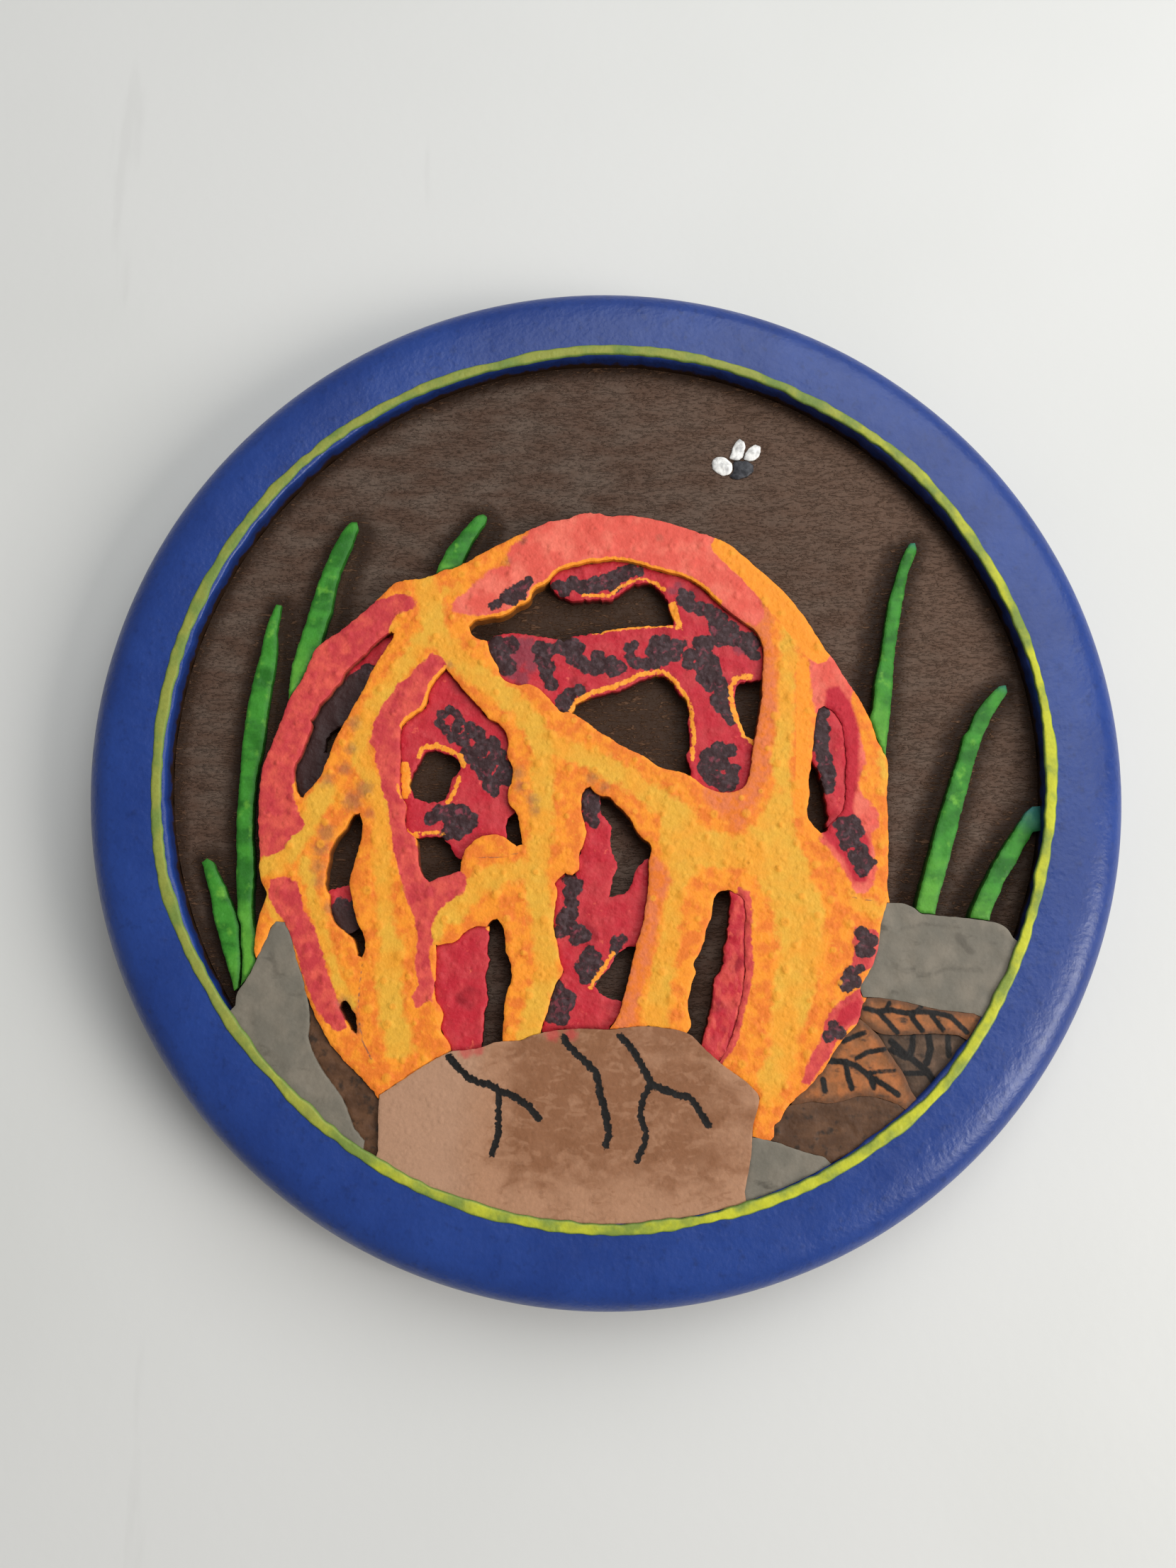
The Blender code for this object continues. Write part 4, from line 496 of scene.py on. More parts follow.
def cad_loops(node):
    """Outlines of a CAD plate's underside in millimetres, with the material on their left."""
    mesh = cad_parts[node].data
    points = np.array([v.co for v in mesh.vertices]) / MM
    low = points[:, 2].min()
    edges = set()
    for polygon in mesh.polygons:
        corners = [points[i] for i in polygon.vertices]
        if max(corner[2] for corner in corners) > low + 0.01:
            continue
        keys = [(round(float(c[0]), 3), round(float(c[1]), 3)) for c in reversed(corners)]
        for start, end in zip(keys, keys[1:] + keys[:1]):
            if (end, start) in edges:
                edges.remove((end, start))
            else:
                edges.add((start, end))
    follow = dict(edges)
    loops = []
    while follow:
        start = min(follow)
        loop = [start]
        after = follow.pop(start)
        while after != start:
            loop.append(after)
            after = follow.pop(after)
        loops.append(np.array(loop))
    return loops


def smooth_loop(loop, spacing):
    """Run a smooth curve through an outline's corners, and keep its sharp ones."""
    gaps = np.linalg.norm(np.roll(loop, -1, axis=0) - loop, axis=1)
    points = loop[np.roll(gaps, 1) > 0.1]
    ahead = np.roll(points, -1, axis=0) - points
    reach = np.linalg.norm(ahead, axis=1)
    leaving = ahead / reach[:, None]
    arriving = np.roll(leaving, 1, axis=0)
    turn = (leaving * arriving).sum(axis=1)
    middle = arriving * reach[:, None] + leaving * np.roll(reach, 1)[:, None]
    middle /= np.linalg.norm(middle, axis=1)[:, None]
    sharp = (turn < CORNER_COSINE)[:, None]
    out_slope = np.where(sharp, leaving, middle)
    in_slope = np.where(sharp, arriving, middle)
    made = []
    for i, point in enumerate(points):
        j = (i + 1) % len(points)
        count = max(1, round(float(reach[i]) / spacing))
        t = (np.arange(count) / count)[:, None]
        made.append(
            (2 * t**3 - 3 * t**2 + 1) * point + (t**3 - 2 * t**2 + t) * out_slope[i] * reach[i]
            + (3 * t**2 - 2 * t**3) * points[j] + (t**3 - t**2) * in_slope[j] * reach[i]
        )
    return np.concatenate(made)


def grow_loop(loop, distance):
    """Move an outline away from its material by a distance, which may vary along it."""
    ahead = np.roll(loop, -1, axis=0) - loop
    ahead /= np.linalg.norm(ahead, axis=1)[:, None]
    normal = np.stack([ahead[:, 1], -ahead[:, 0]], axis=1)
    both = normal + np.roll(normal, 1, axis=0)
    both /= np.maximum(np.linalg.norm(both, axis=1), 0.5)[:, None]
    return loop + both * np.reshape(distance, (-1, 1))


def loop_segments(loops):
    """Every edge of some closed outlines, as rows of start and end."""
    return np.concatenate([np.hstack([loop, np.roll(loop, -1, axis=0)]) for loop in loops])


def path_segments(path):
    """Every edge of an open path, as rows of start and end."""
    points = np.array(path, float)
    return np.hstack([points[:-1], points[1:]])


def distance_to(points, segments):
    """Distance from each point to the nearest of some segments."""
    start = segments[:, :2].astype(np.float32)
    run = segments[:, 2:].astype(np.float32) - start
    length = np.maximum((run**2).sum(axis=1), 1e-9)
    found = []
    for first in range(0, len(points), BLOCK):
        away = points[first:first + BLOCK, None, :].astype(np.float32) - start
        along = np.clip((away * run).sum(axis=2) / length, 0, 1)
        rest = away - along[..., None] * run
        found.append(np.sqrt((rest**2).sum(axis=2).min(axis=1)))
    return np.concatenate(found).astype(float)


def inside(points, segments):
    """Which points some closed outlines enclose, by the even-odd rule."""
    x0, y0, x1, y1 = segments.T
    slope = (x1 - x0) / np.where(y1 == y0, 1e-12, y1 - y0)
    found = []
    for first in range(0, len(points), BLOCK):
        x, y = points[first:first + BLOCK, :1], points[first:first + BLOCK, 1:]
        crossed = ((y0 > y) != (y1 > y)) & (x < slope * (y - y0) + x0)
        found.append(crossed.sum(axis=1) % 2 == 1)
    return np.concatenate(found)


# ---------------------------------------------------------------- marks of paint


def area_field(points, areas):
    """Signed distance to the edge of some areas, positive inside them."""
    best = np.full(len(points), -1e3)
    for area in areas:
        segments = loop_segments([smooth_loop(np.array(area, float), 0.8)])
        distance = distance_to(points, segments)
        best = np.maximum(best, np.where(inside(points, segments), distance, -distance))
    return best


def stroke_field(points, strokes):
    """Signed distance to the edge of some brush strokes, positive inside them."""
    best = np.full(len(points), -1e3)
    for half_width, path in strokes:
        best = np.maximum(best, half_width - distance_to(points, path_segments(path)))
    return best


def dab_field(points, dabs):
    """Signed distance to the edge of some round dabs, positive inside them."""
    centres = np.array(dabs)
    away = points[:, None, :] - centres[None, :, :2]
    return (centres[:, 2] - np.sqrt((away**2).sum(axis=2))).max(axis=1)


def ripple(points, wavelength, seed, stretch=(1.0, 1.0)):
    """Smooth irregular waves between about -1 and 1."""
    rng = np.random.default_rng(seed)
    total = np.zeros(len(points))
    for _ in range(7):
        angle = rng.uniform(0, 2 * math.pi)
        pitch = 2 * math.pi / (wavelength * rng.uniform(0.7, 1.6))
        phase = rng.uniform(0, 2 * math.pi)
        along = points[:, 0] * math.cos(angle) * stretch[0] + points[:, 1] * math.sin(angle) * stretch[1]
        total += np.sin(along * pitch + phase)
    return total / 3.2


def facets(points, spacing, seed):
    """Height of a surface left by many short knife cuts, each a small tilted plane."""
    rng = np.random.default_rng(seed)
    low = points.min(axis=0) - spacing
    high = points.max(axis=0) + spacing
    count = int(np.prod((high - low) / spacing)) + 3
    centres = rng.uniform(low, high, (count, 2))
    tilts = rng.normal(0, 1, (count, 2))
    height = []
    for first in range(0, len(points), BLOCK):
        away = points[first:first + BLOCK, None, :] - centres
        near = (away**2).sum(axis=2).argmin(axis=1)
        rest = points[first:first + BLOCK] - centres[near]
        height.append((rest * tilts[near]).sum(axis=1) / spacing)
    return np.concatenate(height)


# ---------------------------------------------------------------- meshes


def fill_points(segments, low, high, spacing, seed, margin):
    """Scattered points inside an outline, no nearer to its edge than a margin."""
    rng = np.random.default_rng(seed)
    rows = np.arange(low[1], high[1], spacing * 0.87)
    columns = np.arange(low[0], high[0], spacing)
    x, y = np.meshgrid(columns, rows)
    x = x + (np.arange(len(rows)) % 2)[:, None] * spacing / 2
    points = np.stack([x.ravel(), y.ravel()], axis=1)
    points += rng.uniform(-0.14, 0.14, points.shape) * spacing
    points = points[inside(points, segments)]
    return points[distance_to(points, segments) > margin]


def triangulate(points, edges, segments):
    """Triangles between points, inside an outline."""
    made = geometry.delaunay_2d_cdt([Vector(p) for p in points], edges, [], 0, 1e-5)
    verts = np.array([tuple(v) for v in made[0]])
    faces = np.array([face for face in made[2] if len(face) == 3])
    middles = verts[faces].mean(axis=1)
    return verts, faces[inside(middles, segments)]


def loop_edges(loops):
    """Pairs of neighbouring point numbers round some closed loops laid end to end."""
    edges = []
    first = 0
    for loop in loops:
        count = len(loop)
        edges += [(first + i, first + (i + 1) % count) for i in range(count)]
        first += count
    return edges


def open_edges(faces):
    """Directed edges that only one triangle has."""
    pairs = np.concatenate([faces[:, [0, 1]], faces[:, [1, 2]], faces[:, [2, 0]]])
    known = set(map(tuple, pairs.tolist()))
    return np.array([pair for pair in known if (pair[1], pair[0]) not in known])


def relief_mesh(name, loops, top, spacing, seed, foot=RELIEF_FOOT, extra=None, ring=RIDGE):
    """A carved plate: a fine top at top(points, edge distance), knife-cut walls, and a flat foot."""
    segments = loop_segments(loops)
    inner = inner_points(loops, segments, spacing, seed, extra, ring)
    flat, faces = triangulate(np.concatenate(loops + inner), loop_edges(loops), segments)
    height = top(flat, distance_to(flat, segments))
    rim = open_edges(faces)
    rim_verts = np.unique(rim)
    number = {int(v): i for i, v in enumerate(rim_verts)}
    ends = np.array([[number[int(v)] for v in pair] for pair in rim])
    walls, quads, bottom = wall_rows(flat, height, rim, rim_verts, ends, foot, seed)
    verts = [np.column_stack([flat, height])] + walls
    triangles = [faces] + quads + [bottom[floor_faces(walls[-1][:, :2], ends)]]
    return finished_mesh(name, np.concatenate(verts), np.concatenate(triangles).tolist())


def inner_points(loops, segments, spacing, seed, extra, ring):
    """Points for the top of a plate: scattered ones, a ridge along the edge, and any extra ones."""
    low, high = segments[:, :2].min(axis=0), segments[:, :2].max(axis=0)
    inner = [fill_points(segments, low, high, spacing, seed, spacing * 0.62)]
    ridge = np.concatenate([grow_loop(loop, -ring) for loop in loops])
    ridge = ridge[inside(ridge, segments)]
    inner.append(ridge[distance_to(ridge, segments) > ring * 0.9])
    if extra is not None:
        kept = extra[inside(extra, segments)]
        inner.append(kept[distance_to(kept, segments) > spacing * 0.5])
    return inner


def wall_rows(flat, height, rim, rim_verts, ends, foot, seed):
    """Rows of points down the cut walls, the triangles between them, and the lowest row's numbers."""
    rng = np.random.default_rng(seed + 7)
    away = outward(flat, rim, rim_verts)
    shallow = height[rim_verts]
    above = rim_verts
    first = len(flat)
    rows, triangles = [], []
    for share in WALL_ROWS:
        level = shallow + (foot - shallow) * share
        wobble = rng.normal(0, WALL_WOBBLE, len(rim_verts)) * (1 - share) - WALL_DRAFT * share
        rows.append(np.column_stack([flat[rim_verts] + away * wobble[:, None], level]))
        below = first + np.arange(len(rim_verts))
        a, b = ends.T
        triangles.append(np.stack([above[b], above[a], below[a]], axis=1))
        triangles.append(np.stack([above[b], below[a], below[b]], axis=1))
        above = below
        first += len(rim_verts)
    return rows, triangles, above


def floor_faces(points, ends):
    """Triangles of the flat foot, facing down, by number along the lowest row."""
    segments = np.hstack([points[ends[:, 0]], points[ends[:, 1]]])
    made = geometry.delaunay_2d_cdt([Vector(p) for p in points], ends.tolist(), [], 0, 1e-7)
    faces = np.array([[made[3][v][0] for v in face] for face in made[2]])
    return faces[inside(points[faces].mean(axis=1), segments)][:, ::-1]


def outward(flat, rim, rim_verts):
    """Unit directions away from the material at each vertex of the rim."""
    run = flat[rim[:, 1]] - flat[rim[:, 0]]
    run /= np.maximum(np.linalg.norm(run, axis=1), 1e-9)[:, None]
    normal = np.stack([run[:, 1], -run[:, 0]], axis=1)
    total = np.zeros((len(flat), 2))
    np.add.at(total, rim[:, 0], normal)
    np.add.at(total, rim[:, 1], normal)
    chosen = total[rim_verts]
    return chosen / np.maximum(np.linalg.norm(chosen, axis=1), 0.5)[:, None]


def finished_mesh(name, verts, faces, sharp=38):
    """A smooth-shaded object from points in millimetres."""
    mesh = bpy.data.meshes.new(name)
    mesh.from_pydata((verts * MM).tolist(), [], faces)
    mesh.validate()
    mesh.update()
    mesh.shade_smooth()
    mesh.set_sharp_from_angle(angle=math.radians(sharp))
    thing = bpy.data.objects.new(name, mesh)
    bpy.context.scene.collection.objects.link(thing)
    return thing


def all_points(thing):
    """Position of each vertex, in millimetres."""
    points = np.empty(len(thing.data.vertices) * 3)
    thing.data.vertices.foreach_get("co", points)
    return points.reshape(-1, 3) / MM


def flat_points(thing):
    """Plan position of each vertex, in millimetres."""
    return all_points(thing)[:, :2]


def set_field(thing, name, values):
    """Store one number for each vertex, for the material to read."""
    attribute = thing.data.attributes.new(name, "FLOAT", "POINT")
    attribute.data.foreach_set("value", np.clip(values, -9, 9).astype(np.float32))


def piece_loops(node, seed, grow=GROW, spacing=0.32, rough=0.04):
    """The outlines of a visible piece: the CAD plate's, smoothed, widened and a little uneven."""
    loops = []
    for index, loop in enumerate(cad_loops(node)):
        smooth = smooth_loop(loop, spacing)
        uneven = ripple(smooth, 1.5, seed + index) * rough + ripple(smooth, 0.7, seed + index + 50) * rough
        made = grow_loop(smooth, grow + uneven)
        radius = np.hypot(made[:, 0], made[:, 1])
        made *= np.where(radius > WALL_REACH, WALL_INSIDE / radius, 1.0)[:, None]
        loops.append(made)
    return loops


def show(thing, nodes, material):
    """Hand a piece over to the frame."""
    thing.data.materials.append(material)
    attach(thing, "root")
    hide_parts(*nodes)


# ---------------------------------------------------------------- materials


class Paint:
    """A painted material: a small wrapper that keeps node building readable."""

    def __init__(self, name):
        self.material = bpy.data.materials.new(name)
        self.material.use_nodes = True
        self.tree = self.material.node_tree
        self.shader = self.tree.nodes["Principled BSDF"]
        place = self.tree.nodes.new("ShaderNodeTexCoord")
        scaled = self.tree.nodes.new("ShaderNodeVectorMath")
        scaled.operation = "MULTIPLY"
        scaled.inputs[1].default_value = [1 / MM] * 3
        self.tree.links.new(place.outputs["Object"], scaled.inputs[0])
        self.place = scaled.outputs[0]

    def plug(self, socket, value):
        """Link a socket, or set a number or a colour."""
        if isinstance(value, bpy.types.NodeSocket):
            self.tree.links.new(value, socket)
        elif isinstance(value, tuple) and socket.type == "RGBA":
            socket.default_value = (*value, 1.0)
        else:
            socket.default_value = value

    def field(self, name):
        """A number stored on the mesh."""
        node = self.tree.nodes.new("ShaderNodeAttribute")
        node.attribute_name = name
        return node.outputs["Fac"]

    def stretched(self, stretch):
        """The position in millimetres, squeezed or stretched along each axis."""
        node = self.tree.nodes.new("ShaderNodeVectorMath")
        node.operation = "MULTIPLY"
        self.plug(node.inputs[0], self.place)
        node.inputs[1].default_value = stretch
        return node.outputs[0]

    def noise(self, size, detail=3.0, stretch=None, seed=0.0, twist=0.0):
        """Soft irregular patches of about a size in millimetres, between 0 and 1."""
        node = self.tree.nodes.new("ShaderNodeTexNoise")
        node.noise_dimensions = "4D"
        node.inputs["W"].default_value = seed
        node.inputs["Scale"].default_value = 1 / size
        node.inputs["Detail"].default_value = detail
        node.inputs["Distortion"].default_value = twist
        self.plug(node.inputs["Vector"], self.stretched(stretch) if stretch else self.place)
        return node.outputs["Fac"]

    def cells(self, size, seed):
        """Distance to the nearest of many scattered points."""
        node = self.tree.nodes.new("ShaderNodeTexVoronoi")
        node.voronoi_dimensions = "4D"
        node.inputs["W"].default_value = seed
        node.inputs["Scale"].default_value = 1 / size
        self.plug(node.inputs["Vector"], self.place)
        return node.outputs["Distance"]

    def sum(self, *terms):
        """Add weighted terms. Each is a socket, a number, or (socket, weight)."""
        total = None
        for term in terms:
            value, weight = term if isinstance(term, tuple) else (term, 1.0)
            if weight != 1.0:
                value = self.calc("MULTIPLY", value, weight)
            total = value if total is None else self.calc("ADD", total, value)
        return total

    def calc(self, operation, first, second=0.0):
        """One arithmetic step."""
        node = self.tree.nodes.new("ShaderNodeMath")
        node.operation = operation
        self.plug(node.inputs[0], first)
        self.plug(node.inputs[1], second)
        return node.outputs[0]

    def fade(self, value, low, high):
        """0 below low, 1 above high, and smooth between."""
        node = self.tree.nodes.new("ShaderNodeMapRange")
        node.interpolation_type = "SMOOTHSTEP"
        self.plug(node.inputs["Value"], value)
        node.inputs["From Min"].default_value = low
        node.inputs["From Max"].default_value = high
        return node.outputs["Result"]

    def mix(self, factor, first, second):
        """Blend two colours."""
        node = self.tree.nodes.new("ShaderNodeMix")
        node.data_type = "RGBA"
        self.plug(node.inputs[MIX_FACTOR], factor)
        self.plug(node.inputs[MIX_FIRST], first)
        self.plug(node.inputs[MIX_SECOND], second)
        return node.outputs[MIX_RESULT]

    def tint(self, colour, amount):
        """Multiply a colour by a number."""
        node = self.tree.nodes.new("ShaderNodeMix")
        node.data_type = "RGBA"
        node.blend_type = "MULTIPLY"
        node.inputs[MIX_FACTOR].default_value = 1.0
        grey = self.tree.nodes.new("ShaderNodeCombineColor")
        for socket in grey.inputs:
            self.plug(socket, amount)
        self.plug(node.inputs[MIX_FIRST], colour)
        self.plug(node.inputs[MIX_SECOND], grey.outputs[0])
        return node.outputs[MIX_RESULT]

    def blend(self, value, low, high, first, second):
        """Blend two colours as a value goes from low to high."""
        return self.mix(self.fade(value, low, high), first, second)

    def wash(self, cover, strength, below, above):
        """Lay one colour over another where a cover says, at some strength."""
        return self.mix(self.calc("MULTIPLY", cover, strength), below, above)

    def grain(self, colour, value, weight, base):
        """Lighten and darken a colour by a value."""
        return self.tint(colour, self.sum((value, weight), base))

    def mark(self, field, ragged, soft, size, seed):
        """Where a mark covers the surface, with an edge broken up by the brush."""
        wander = self.noise(size, 4.0, seed=seed)
        reach = self.sum(self.field(field), (wander, ragged), -ragged / 2)
        return self.fade(reach, -soft, soft)

    def dust(self, colour, amount):
        """Add sparse pale specks of lint and dust."""
        speck = self.cells(2.6, seed=4.4)
        near = self.fade(speck, 0.070, 0.035)
        rare = self.fade(self.noise(1.9, 1.0, seed=9.1), 0.50, 0.54)
        return self.wash(self.calc("MULTIPLY", near, rare), amount, colour, LINT)

    def finish(self, colour, roughness, height, depth, gloss=0.2):
        """Plug the colour, the roughness and a bump of some depth in millimetres into the shader."""
        bump = self.tree.nodes.new("ShaderNodeBump")
        bump.inputs["Strength"].default_value = 1.0
        bump.inputs["Distance"].default_value = depth * MM
        self.plug(bump.inputs["Height"], height)
        self.plug(self.shader.inputs["Normal"], bump.outputs[0])
        self.plug(self.shader.inputs["Base Color"], colour)
        self.plug(self.shader.inputs["Roughness"], roughness)
        self.shader.inputs["Specular IOR Level"].default_value = gloss
        return self.material

    def brushed(self, seed):
        """Height of thick paint: brush ridges, stipple and fine pits."""
        ridges = self.noise(0.5, 5.0, stretch=(0.4, 1.0, 1.0), seed=seed)
        stipple = self.noise(0.28, 3.0, seed=seed + 3)
        lumps = self.fade(self.cells(0.85, seed=seed + 4), 0.55, 0.1)
        swell = self.noise(1.6, 2.0, seed=seed + 5)
        return self.sum((ridges, 0.45), (stipple, 0.4), (lumps, 0.35), (swell, 0.7))

    def side_shade(self, colour, dark, strength=0.8):
        """Darken the cut walls towards their foot, as painted shade."""
        return self.wash(self.fade(self.field("drop"), 0.2, 1.1), strength, colour, dark)


def lattice_paint():
    """Yellow cores, orange flanks, and coral, rose and crimson stretches with dark dabs."""
    paint = Paint("lattice_paint")
    blotch = paint.noise(1.5, 4.0, seed=1.0)
    orange = paint.blend(blotch, 0.38, 0.62, ORANGE, AMBER)
    yellow = paint.blend(paint.noise(4.0, 3.0, seed=2.0), 0.35, 0.65, YELLOW, LEMON)
    core = paint.sum(paint.field("yellow"), (paint.noise(1.1, 5.0, seed=3.0), 2.6), -1.3)
    speckle = paint.fade(paint.noise(0.45, 3.0, seed=2.5), 0.60, 0.68)
    orange = paint.wash(speckle, 0.55, orange, YELLOW)
    colour = paint.blend(core, -0.55, 0.45, orange, yellow)
    peach = paint.blend(paint.noise(0.9, 4.0, seed=5.0), 0.4, 0.65, PEACH, ORANGE)
    colour = paint.mix(paint.mark("peach", 1.4, 0.5, 0.8, 6.0), colour, peach)
    coral = paint.blend(paint.noise(2.2, 3.0, seed=7.0), 0.4, 0.7, CORAL, PALE_CORAL)
    colour = paint.mix(paint.mark("coral", 1.1, 0.2, 0.7, 8.0), colour, coral)
    rose = paint.blend(paint.noise(1.4, 4.0, seed=9.0), 0.35, 0.7, ROSE, CORAL)
    colour = paint.mix(paint.mark("rose", 0.9, 0.12, 0.6, 10.0), colour, rose)
    colour = paint.mix(paint.mark("crimson", 0.7, 0.3, 0.8, 11.0), colour, CRIMSON)
    colour = paint.mix(paint.mark("amber", 0.6, 0.10, 0.7, 4.0), colour, AMBER)
    colour = paint.mix(paint.mark("lip", 0.7, 0.08, 0.7, 4.5), colour, AMBER)
    colour = paint.wash(paint.mark("smudge", 1.4, 0.6, 0.6, 12.0), 0.55, colour, SMUDGE)
    colour = paint.mix(dab_cover(paint, 13.0), colour, dab_colour(paint, 14.0))
    off_rose = paint.fade(paint.field("rose"), 0.4, -0.4)
    warm = paint.sum(off_rose, paint.fade(paint.field("coral"), 0.4, -0.4), -1.0)
    bright = paint.calc("MULTIPLY", paint.fade(paint.field("dot"), 0.2, 0.8), 0.75)
    colour = paint.wash(bright, warm, colour, YELLOW)
    # Painted shade in the pits of the stylus marks: the colour darkens where a pit lies.
    shade_and_stain = paint.calc("MULTIPLY", paint.fade(paint.field("pit"), 0.3, 0.9), 0.5)
    colour = paint.mix(shade_and_stain, colour, paint.tint(colour, 0.55))
    colour = paint.wash(paint.mark("seam", 0.1, 0.06, 0.5, 15.0), 0.8, colour, SMUDGE)
    colour = paint.grain(colour, paint.noise(0.5, 4.0, seed=16.0), 0.34, 0.82)
    # Painted shade down the cut walls of the lattice.
    colour = paint.side_shade(colour, WALL_SHADE_AMBER, 0.85)
    roughness = paint.sum((paint.noise(1.0, 3.0, seed=17.0), 0.25), 0.45)
    return paint.finish(colour, roughness, paint.brushed(18.0), 0.16)


def dab_cover(paint, seed):
    """Where dark dabs cover the paint below them."""
    wander = paint.noise(0.7, 5.0, seed=seed)
    reach = paint.sum(paint.field("dab"), (wander, 1.1), -0.50)
    return paint.fade(reach, -0.05, 0.12)


def dab_colour(paint, seed):
    """Dark plum that thins to a red haze in the middle of a dab."""
    thin = paint.fade(paint.noise(0.9, 4.0, seed=seed, twist=0.8), 0.52, 0.70)
    thin = paint.calc("MULTIPLY", thin, paint.fade(paint.field("dab"), 0.10, 0.6))
    dark = paint.blend(paint.noise(0.6, 3.0, seed=seed + 1), 0.45, 0.7, PLUM, PALE_PLUM)
    return paint.mix(thin, dark, PLUM_HAZE)


def gleba_paint():
    """Crimson with dark dabs, bright lips at the openings, and dark cut walls."""
    paint = Paint("gleba_paint")
    crimson = paint.blend(paint.noise(1.8, 4.0, seed=21.0), 0.35, 0.7, CRIMSON, ROSE)
    crimson = paint.blend(paint.noise(0.8, 5.0, seed=22.0), 0.62, 0.75, crimson, CORAL)
    crimson = paint.blend(paint.noise(3.5, 2.0, seed=23.0), 0.58, 0.75, crimson, DEEP_CRIMSON)
    scrub = paint.fade(paint.noise(0.8, 5.0, stretch=(1.0, 0.5, 1.0), seed=23.5), 0.42, 0.6)
    crimson = paint.wash(scrub, paint.field("warm"), crimson, CORAL)
    haze = paint.calc("MULTIPLY", paint.mark("haze", 1.2, 0.4, 0.6, 24.0), 0.8)
    colour = paint.mix(haze, crimson, PLUM_HAZE)
    colour = paint.mix(dab_cover(paint, 25.0), colour, dab_colour(paint, 26.0))
    lip = paint.blend(paint.noise(0.6, 3.0, seed=27.0), 0.4, 0.6, AMBER, LIP_YELLOW)
    colour = paint.mix(paint.mark("lip", 0.9, 0.07, 0.45, 28.0), colour, lip)
    streaks = paint.noise(1.2, 5.0, stretch=(1.0, 0.4, 1.0), seed=28.5)
    shade_and_stain = paint.sum(paint.field("deep"), (streaks, 1.6), -0.8)
    colour = paint.blend(shade_and_stain, -0.2, 0.5, colour, DEEP_PLUM)
    colour = paint.grain(colour, paint.noise(0.45, 4.0, seed=29.0), 0.4, 0.8)
    colour = paint.side_shade(colour, EARTH_SHADE, 0.9)
    roughness = paint.sum((paint.noise(0.8, 3.0, seed=30.0), 0.3), 0.38)
    return paint.finish(colour, roughness, paint.brushed(31.0), 0.17)


def ground_paint():
    """Dark brown scrubbed over the dish, and painted shade nearly black in the deep corners."""
    paint = Paint("ground_paint")
    scrub = paint.noise(2.4, 6.0, stretch=(0.35, 1.0, 1.0), seed=41.0)
    colour = paint.blend(scrub, 0.35, 0.68, EARTH, SCRUBBED_EARTH)
    colour = paint.blend(paint.field("pale"), 0.0, 1.0, colour, PALE_EARTH)
    fine = paint.noise(0.30, 4.0, stretch=(0.70, 1.0, 1.0), seed=42.0)
    colour = paint.grain(colour, fine, 0.5, 0.72)
    grit = paint.fade(paint.noise(0.16, 2.0, seed=42.5), 0.62, 0.74)
    colour = paint.wash(grit, 0.5, colour, GRIT)
    # Painted shade and painted shadows: the ground darkens behind the lattice, at its foot, beside the
    # blades and at the wall.
    near = paint.sum(paint.field("near"), (paint.noise(1.2, 4.0, seed=43.0), 1.4), -0.7)
    deep = paint.fade(near, -1.4, 0.4)
    window = paint.blend(paint.field("near"), 0.85, 1.1, EARTH_SHADE, WINDOW_SHADE_EARTH)
    colour = paint.wash(deep, 0.88, colour, window)
    fibres = paint.fade(paint.noise(0.34, 4.0, stretch=(0.26, 1.0, 1.0), seed=43.5, twist=1.6), 0.50, 0.66)
    colour = paint.wash(paint.calc("MULTIPLY", fibres, deep), 0.55, colour, FIBRE)
    colour = paint.dust(colour, 1.0)
    roughness = paint.sum((fine, 0.3), 0.48)
    height = paint.sum((fine, 0.5), (paint.brushed(44.0), 0.5), (fibres, 0.8))
    return paint.finish(colour, roughness, height, 0.16, gloss=0.14)


def volva_paint():
    """Tan, pinker to the left and browner to the right, with dark cracks painted on."""
    paint = Paint("volva_paint")
    brush = paint.noise(3.0, 6.0, stretch=(0.62, 1.0, 1.0), seed=51.0, twist=1.0)
    brown = paint.sum(paint.field("brown"), (brush, 14.0), -7.0)
    colour = paint.blend(brown, -2.6, 3.6, TAN, BROWN_TAN)
    streaks = paint.noise(1.2, 6.0, stretch=(0.6, 1.0, 1.0), seed=52.0, twist=0.9)
    colour = paint.wash(paint.fade(streaks, 0.50, 0.64), 0.45, colour, TAN)
    colour = paint.wash(paint.fade(streaks, 0.45, 0.33), 0.5, colour, BROWN_TAN)
    colour = paint.blend(paint.sum(paint.field("pink"), (brush, 4.0), -2.0), -1.5, 3.0, colour, PINK_TAN)
    colour = paint.wash(paint.mark("rim_red", 1.0, 0.4, 0.6, 53.0), 0.6, colour, ROSE)
    colour = paint.mix(paint.mark("crack", 0.9, 0.06, 0.5, 54.0), colour, CHARCOAL)
    fine = paint.noise(0.35, 4.0, seed=55.0)
    colour = paint.grain(colour, fine, 0.3, 0.85)
    colour = paint.side_shade(colour, EARTH_SHADE)
    colour = paint.dust(colour, 0.5)
    return paint.finish(colour, paint.sum((fine, 0.25), 0.48), paint.brushed(56.0), 0.10)


